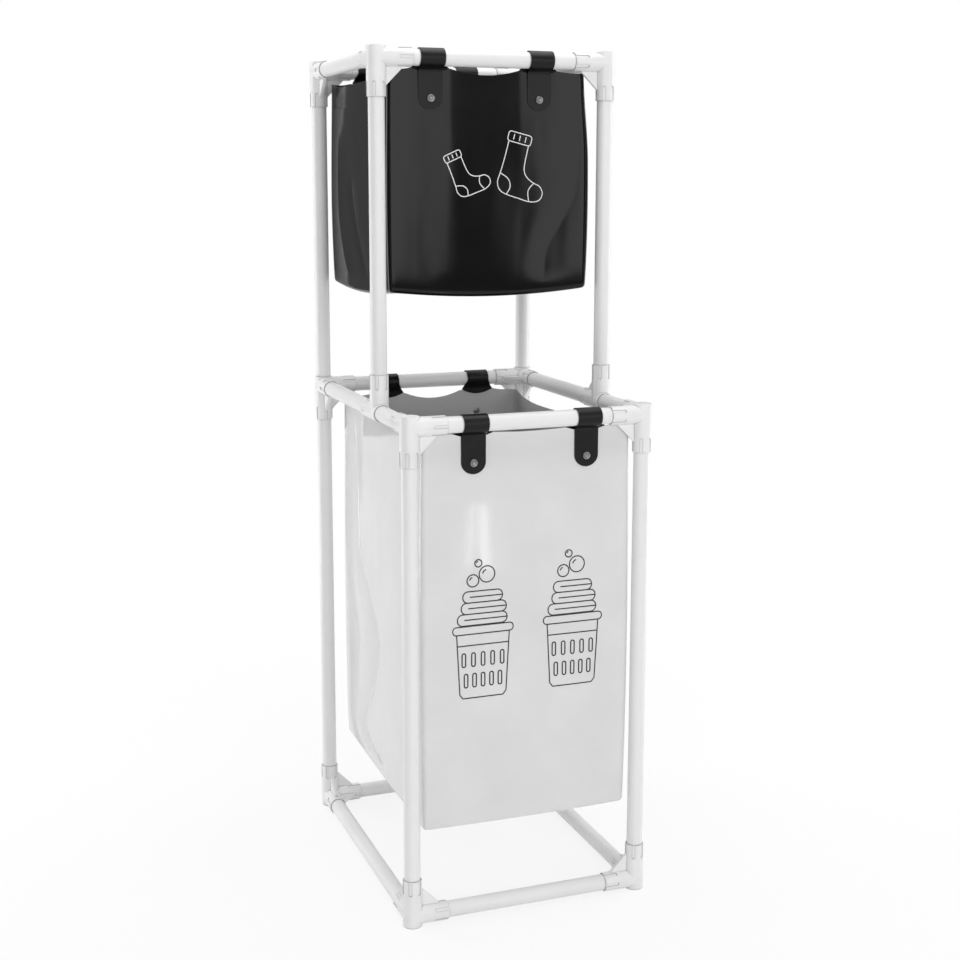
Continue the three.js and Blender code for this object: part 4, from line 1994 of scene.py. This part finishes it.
def sock_drawing(x: float, z: float, size: float, lean: float) -> list[Stroke]:
    """Draws a sock, from the middle of its leg.

    Args:
        x: The leg's middle, across.
        z: The leg's middle, above the floor.
        size: The scale, where one is a sock 70 mm tall.
        lean: Its turn, in degrees.

    Returns:
        The strokes.
    """
    sketch = Sketch(x, z, size, lean)
    sketch.box(0, 31, 28, 11, 3)
    for rib in (-7, 0, 7):
        sketch.line((rib, 28), (rib, 34))
    heel = ((-12, 25.5), (-12.4, 8), (-13.5, -10), (-14.5, -21), (-10, -29), (-1, -32))
    toe = ((14, -33), (28, -33.5), (38, -30), (41, -22), (36, -14.5), (26, -12))
    instep = ((17, -7), (12.6, 2), (12, 25.5))
    sketch.line(*heel, *toe, *instep, smooth=True)
    sketch.line((-13.6, -11), (-3, -15), (1.5, -23), (-1, -32), smooth=True)
    sketch.line((28, -12.5), (23.5, -22), (27, -33.4), smooth=True)
    return sketch.strokes


# The studio.


@dataclass(frozen=True)
class Lamp:
    """A soft lamp that faces the middle of the hamper, and that the camera doesn't see.

    Attributes:
        name: Its name.
        place: Where it hangs, in metres.
        size: Its width and height, in metres.
        radiance: How bright it looks, where one is white.
        gloss_only: Whether it shows only in the gloss.
    """

    name: str
    place: tuple[float, float, float]
    size: Pair
    radiance: float
    gloss_only: bool = False

    def hang(self, aim: Vector) -> None:
        """Hangs the lamp, facing a place in metres.

        Args:
            aim: The place.
        """
        data = bpy.data.lights.new(self.name, "AREA")
        data.shape = "RECTANGLE"
        data.size, data.size_y = self.size
        data.energy = self.radiance * self.size[0] * self.size[1] * math.pi
        lamp = bpy.data.objects.new(self.name, data)
        lamp.location = self.place
        lamp.rotation_euler = (aim - Vector(self.place)).to_track_quat("-Z", "Y").to_euler()
        lamp.visible_camera = False
        lamp.visible_diffuse = not self.gloss_only
        bpy.context.scene.collection.objects.link(lamp)


LAMPS = (
    Lamp("bank_left", (-1.1, 0.85, 0.8), (0.8, 1.8), 2.7),
    Lamp("bank_right", (1.3, 0.1, 0.8), (0.8, 1.8), 2.3),
    Lamp("window_left", (-0.56, -2.45, 1.1), (2.98, 1.5), 1.95),
    Lamp("window_right", (1.6, -2.45, 1.1), (1.1, 1.5), 1.95),
    Lamp("top", (0.0, -0.1, 2.4), (1.6, 1.6), 2.6),
    Lamp("fill_back", (0.3, 2.6, 1.2), (1.8, 1.8), 1.0),
    Lamp("sparkle", (0.355, -1.29, 0.224), (0.04, 0.13), 4.2, gloss_only=True),
)


@dataclass
class Studio:
    """Camera, floor, world and lamps.

    Attributes:
        place: The camera's place, in metres.
        heading: Its turn to the right, in degrees.
        fall: How far it looks down, in degrees.
        roll: Its turn about its own line of sight, in degrees.
        lens: Its focal length.
        sensor: Its sensor's width.
        shift: Its shift, as shares of the picture's width.
        ambient: The world's strength as a light.
        floor: Half the floor's side.
        floor_colour: Its colour.
        cover: How white the camera sees the floor, at the hamper and far away.
        fade: Where that starts and stops changing, in metres from the middle.
        tent: The tent's strength.
        tent_radius: Its radius.
        tent_height: Its height.
        aim: Height of the place that the lamps face, in metres.
    """

    place: tuple[float, float, float] = (-0.6762, -1.8292, 0.8984)
    heading: float = 20.0
    fall: float = 9.36
    roll: float = -0.042
    lens: float = 56.2575
    sensor: float = 36
    shift: Pair = (0.0157, -0.0528)
    ambient: float = 0.23
    floor: float = 6000
    floor_colour: str = "#F2F2F2"
    cover: Pair = (0.82, 1.0)
    fade: Pair = (0.3, 1.0)
    tent: float = 0.22
    tent_radius: float = 3600
    tent_height: float = 3000
    aim: float = 0.55

    def _camera(self) -> None:
        """Sets the camera at the photograph's place."""
        data = bpy.data.cameras.new("camera")
        data.lens = self.lens
        data.sensor_width = self.sensor
        data.sensor_fit = "HORIZONTAL"
        data.shift_x, data.shift_y = self.shift
        camera = bpy.data.objects.new("camera", data)
        turn = Matrix()
        for degrees, axis in ((-self.heading, "Z"), (90 - self.fall, "X"), (self.roll, "Z")):
            turn = turn @ Matrix.Rotation(math.radians(degrees), 4, axis)
        camera.matrix_world = Matrix.Translation(self.place) @ turn
        bpy.context.scene.collection.objects.link(camera)
        bpy.context.scene.camera = camera

    def _white_rays(self, tree: NodeTree) -> NodeSocket:
        """Returns one for rays that see the background itself, and nought for those that light.

        Args:
            tree: The tree.

        Returns:
            The output.
        """
        path = add_node(tree, "ShaderNodeLightPath").outputs
        seen = path["Is Camera Ray"]
        for kind in ("Is Glossy Ray", "Is Transmission Ray"):
            inputs = {0: seen, 1: path[kind]}
            seen = add_node(tree, "ShaderNodeMath", inputs, operation="MAXIMUM").outputs["Value"]
        return seen

    def _bare_material(self, name: str) -> tuple[Material, NodeTree]:
        """Makes a material without nodes, and returns it with its tree.

        Args:
            name: Its name.

        Returns:
            The material and its node tree.
        """
        material = bpy.data.materials.new(name)
        material.use_nodes = True
        material.node_tree.nodes.clear()
        return material, material.node_tree

    def _world(self) -> None:
        """Sets a plain white world."""
        world = bpy.data.worlds.new("studio")
        world.use_nodes = True
        tree = world.node_tree
        bpy.context.scene.world = world
        inputs = {"Value": self._white_rays(tree), "To Min": self.ambient, "To Max": 1.0}
        strength = add_node(tree, "ShaderNodeMapRange", inputs).outputs["Result"]
        background = tree.nodes["Background"]
        background.inputs["Color"].default_value = WHITE
        tree.links.new(strength, background.inputs["Strength"])

    def _floor(self) -> None:
        """Lays a pale floor that keeps a faint shadow near the hamper and fades to white."""
        bm = bmesh.new()
        bmesh.ops.create_grid(bm, x_segments=1, y_segments=1, size=self.floor)
        material, tree = self._bare_material("studio_floor")
        matt = add_node(tree, "ShaderNodeBsdfDiffuse", {"Color": srgb(self.floor_colour)})
        white = add_node(tree, "ShaderNodeEmission", {"Color": WHITE, "Strength": 1.0})
        place = add_node(tree, "ShaderNodeTexCoord").outputs["Object"]
        away = add_node(tree, "ShaderNodeVectorMath", {0: place}, operation="LENGTH")
        (near, far), (low, high) = self.fade, self.cover
        inputs = {"Value": away.outputs["Value"], "From Min": near, "From Max": far}
        inputs |= {"To Min": low, "To Max": high}
        cover = add_node(tree, "ShaderNodeMapRange", inputs).outputs["Result"]
        inputs = {0: cover, 1: self._white_rays(tree)}
        share = add_node(tree, "ShaderNodeMath", inputs, operation="MULTIPLY").outputs["Value"]
        inputs = {0: share, 1: matt.outputs["BSDF"], 2: white.outputs["Emission"]}
        mix = add_node(tree, "ShaderNodeMixShader", inputs).outputs["Shader"]
        add_node(tree, "ShaderNodeOutputMaterial", {"Surface": mix})
        finish_mesh("studio_floor", bm, [material])

    def _tent(self) -> None:
        """Stands a grey tent round the hamper, which shows only in its gloss."""
        bm = bmesh.new()
        radius, height = self.tent_radius, self.tent_height
        bmesh.ops.create_cone(
            bm, segments=48, radius1=radius, radius2=radius, depth=height, cap_ends=False
        )
        bmesh.ops.translate(bm, vec=UP * (height / 2), verts=bm.verts)
        material, tree = self._bare_material("studio_tent")
        grey = add_node(tree, "ShaderNodeEmission", {"Color": WHITE, "Strength": self.tent})
        add_node(tree, "ShaderNodeOutputMaterial", {"Surface": grey.outputs["Emission"]})
        tent = finish_mesh("studio_tent", bm, [material])
        tent.visible_camera = False
        tent.visible_diffuse = False
        tent.visible_transmission = False
        tent.visible_shadow = False

    def build(self) -> None:
        """Builds the studio."""
        bpy.context.scene.view_settings.view_transform = "Standard"
        self._camera()
        self._world()
        self._floor()
        self._tent()
        for lamp in LAMPS:
            lamp.hang(UP * self.aim)
        log.info("studio set")


def lower_creases() -> tuple[Crease, ...]:
    """Returns the fold lines of the lower bag."""
    left = ((121, 606), (106, 498), (91, 390), (44, 346), (1, 296), (30, 239), (86, 166))
    foot = ((48, 136), (-44, 123))
    right = ((-120, 560), (-60, 420), (-90, 200))
    rear = ((40, 520), (60, 380), (20, 180))
    return (
        Crease(Facing.LEFT, left + foot, height=-7.5, left=70, right=13, fade=0.08),
        Crease(Facing.RIGHT, right, height=1.6, left=60, right=50),
        Crease(Facing.REAR, rear, height=2.5, left=35, right=60),
    )


def upper_creases() -> tuple[Crease, ...]:
    """Returns the fold lines of the upper bag."""
    light = ((139, 993), (142, 928), (140, 875), (132, 835), (114, 796), (91, 764))
    dark = ((84, 914), (72, 863), (42, 812), (16, 769))
    swell = ((118, 1000), (112, 900), (98, 860), (72, 815), (69, 770))
    right = ((20, 1000), (60, 900), (40, 780))
    rear = ((-70, 1000), (-40, 880), (-60, 790))
    return (
        Crease(Facing.LEFT, light, height=1.0, left=30, right=40, fade=0.15),
        Crease(Facing.LEFT, dark, height=-0.8, left=30, right=30),
        Crease(Facing.FRONT, swell, height=-0.55, left=66, right=34, fade=0.15),
        Crease(Facing.RIGHT, right, height=2.5, left=50, right=30),
        Crease(Facing.REAR, rear, height=2.5, left=30, right=50),
    )


def end_rim(
    tier: str, end: str, shift: float, ends: float, tips: float, middle: float
) -> Rim:
    """Builds the rim of a bag's front or rear, with its straps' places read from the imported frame.

    Args:
        tier: Lower or upper.
        end: Front or rear.
        shift: The bag's middle across.
        ends: The drop at the corners.
        tips: The drop at the tabs' tips.
        middle: The drop halfway between the straps.

    Returns:
        The rim.
    """
    flaps = (f"{tier}_strap_flap_{end}_{side}" for side in ("left", "right"))
    left, right = (centre(flap).x - shift for flap in flaps)
    low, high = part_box(f"{tier}_strap_tab_{end}_left")
    return Rim(ends, tips, middle, (left, right), (high.x - low.x) / (2 * MM))


def build_bags(axes: Axes) -> dict[str, ClothBag]:
    """Builds both bags.

    Args:
        axes: The frame's axes.

    Returns:
        The bags by tier.
    """
    white = CoatedOxford(
        name="white_cloth",
        light="#E0E0E0",
        dark="#DADADA",
        backing="#C2C2C2",
        gloss=(0.04, 0.06),
        specular=0.5,
    )
    black = CoatedOxford(
        name="black_cloth",
        light="#0B0B0C",
        dark="#08080A",
        backing="#0E0E0F",
        gloss=(0.09, 0.11),
        specular=0.26,
    )
    lower_shift, upper_shift = 1.2, -2.0
    lower_gap, upper_gap, end_gap = 14.8, 18, 3
    lower = ClothBag(
        node="lower_bag",
        level=axes.mid,
        middle=(axes.lower_front + axes.rear) / 2,
        shift=lower_shift,
        half_x=axes.side - lower_gap,
        half_y=(axes.rear - axes.lower_front) / 2 - end_gap,
        drop=501,
        corners=Corners(front_left=5.5, front_right=9, rear_left=28, rear_right=13),
        front_rim=end_rim("lower", "front", lower_shift, ends=11.5, tips=12, middle=13.5),
        rear_rim=end_rim("lower", "rear", lower_shift, ends=18, tips=15, middle=25),
        side_rims=(19, 28),
        edge_sag=1.5,
        skew=-7.0,
        drawn_in=0.0,
        belly=2.5,
        creases=lower_creases(),
        ripple=0.4,
        finish=white,
        slot="white_cloth",
    )
    upper = ClothBag(
        node="upper_bag",
        level=axes.top,
        middle=(axes.upper_front + axes.rear) / 2,
        shift=upper_shift,
        half_x=axes.side - upper_gap,
        half_y=(axes.rear - axes.upper_front) / 2 - end_gap,
        drop=281,
        corners=Corners(front_left=6, front_right=9, rear_left=20, rear_right=16),
        front_rim=end_rim("upper", "front", upper_shift, ends=14, tips=12, middle=19),
        rear_rim=end_rim("upper", "rear", upper_shift, ends=18, tips=15, middle=22),
        side_rims=(23, 25),
        edge_sag=8,
        skew=3.5,
        drawn_in=5.0,
        belly=2.5,
        creases=upper_creases(),
        ripple=0.3,
        finish=black,
        slot="black_cloth",
    )
    lower.build()
    upper.build()
    return {"lower": lower, "upper": upper}


def build_straps() -> None:
    """Builds the eight straps."""
    webbing = CoatedWebbing().material()
    metal = NickelPlate().material()
    for tier in ("lower", "upper"):
        for end in ("front", "rear"):
            for side in ("left", "right"):
                Strap(tier, end, side, webbing, metal).build()


def build_prints(bags: dict[str, ClothBag]) -> None:
    """Builds the drawings on both front panels.

    Args:
        bags: The bags by tier, already built.
    """
    dark = ScreenInk("dark", "#1D1D1E", "#2A2A2B").material()
    light = ScreenInk("light", "#F2F2F2", "#DCDCDC").material()
    lower = basket_drawing(-58, 281) + basket_drawing(60, 283)
    Print("print_lower", bags["lower"], lower, 1.7, dark).build()
    upper = sock_drawing(-43, 906, 0.82, 24) + sock_drawing(27, 918, 1.12, -14)
    Print("print_upper", bags["upper"], upper, 1.35, light).build()


def main() -> None:
    """Builds the hamper's visible pieces in order."""
    logging.basicConfig(level=logging.INFO, format="%(message)s", stream=sys.stdout)
    Studio().build()
    axes = Axes.read()
    Tubes().build()
    Connectors(axes).build()
    bags = build_bags(axes)
    build_straps()
    build_prints(bags)


if __name__ == "__main__":
    main()
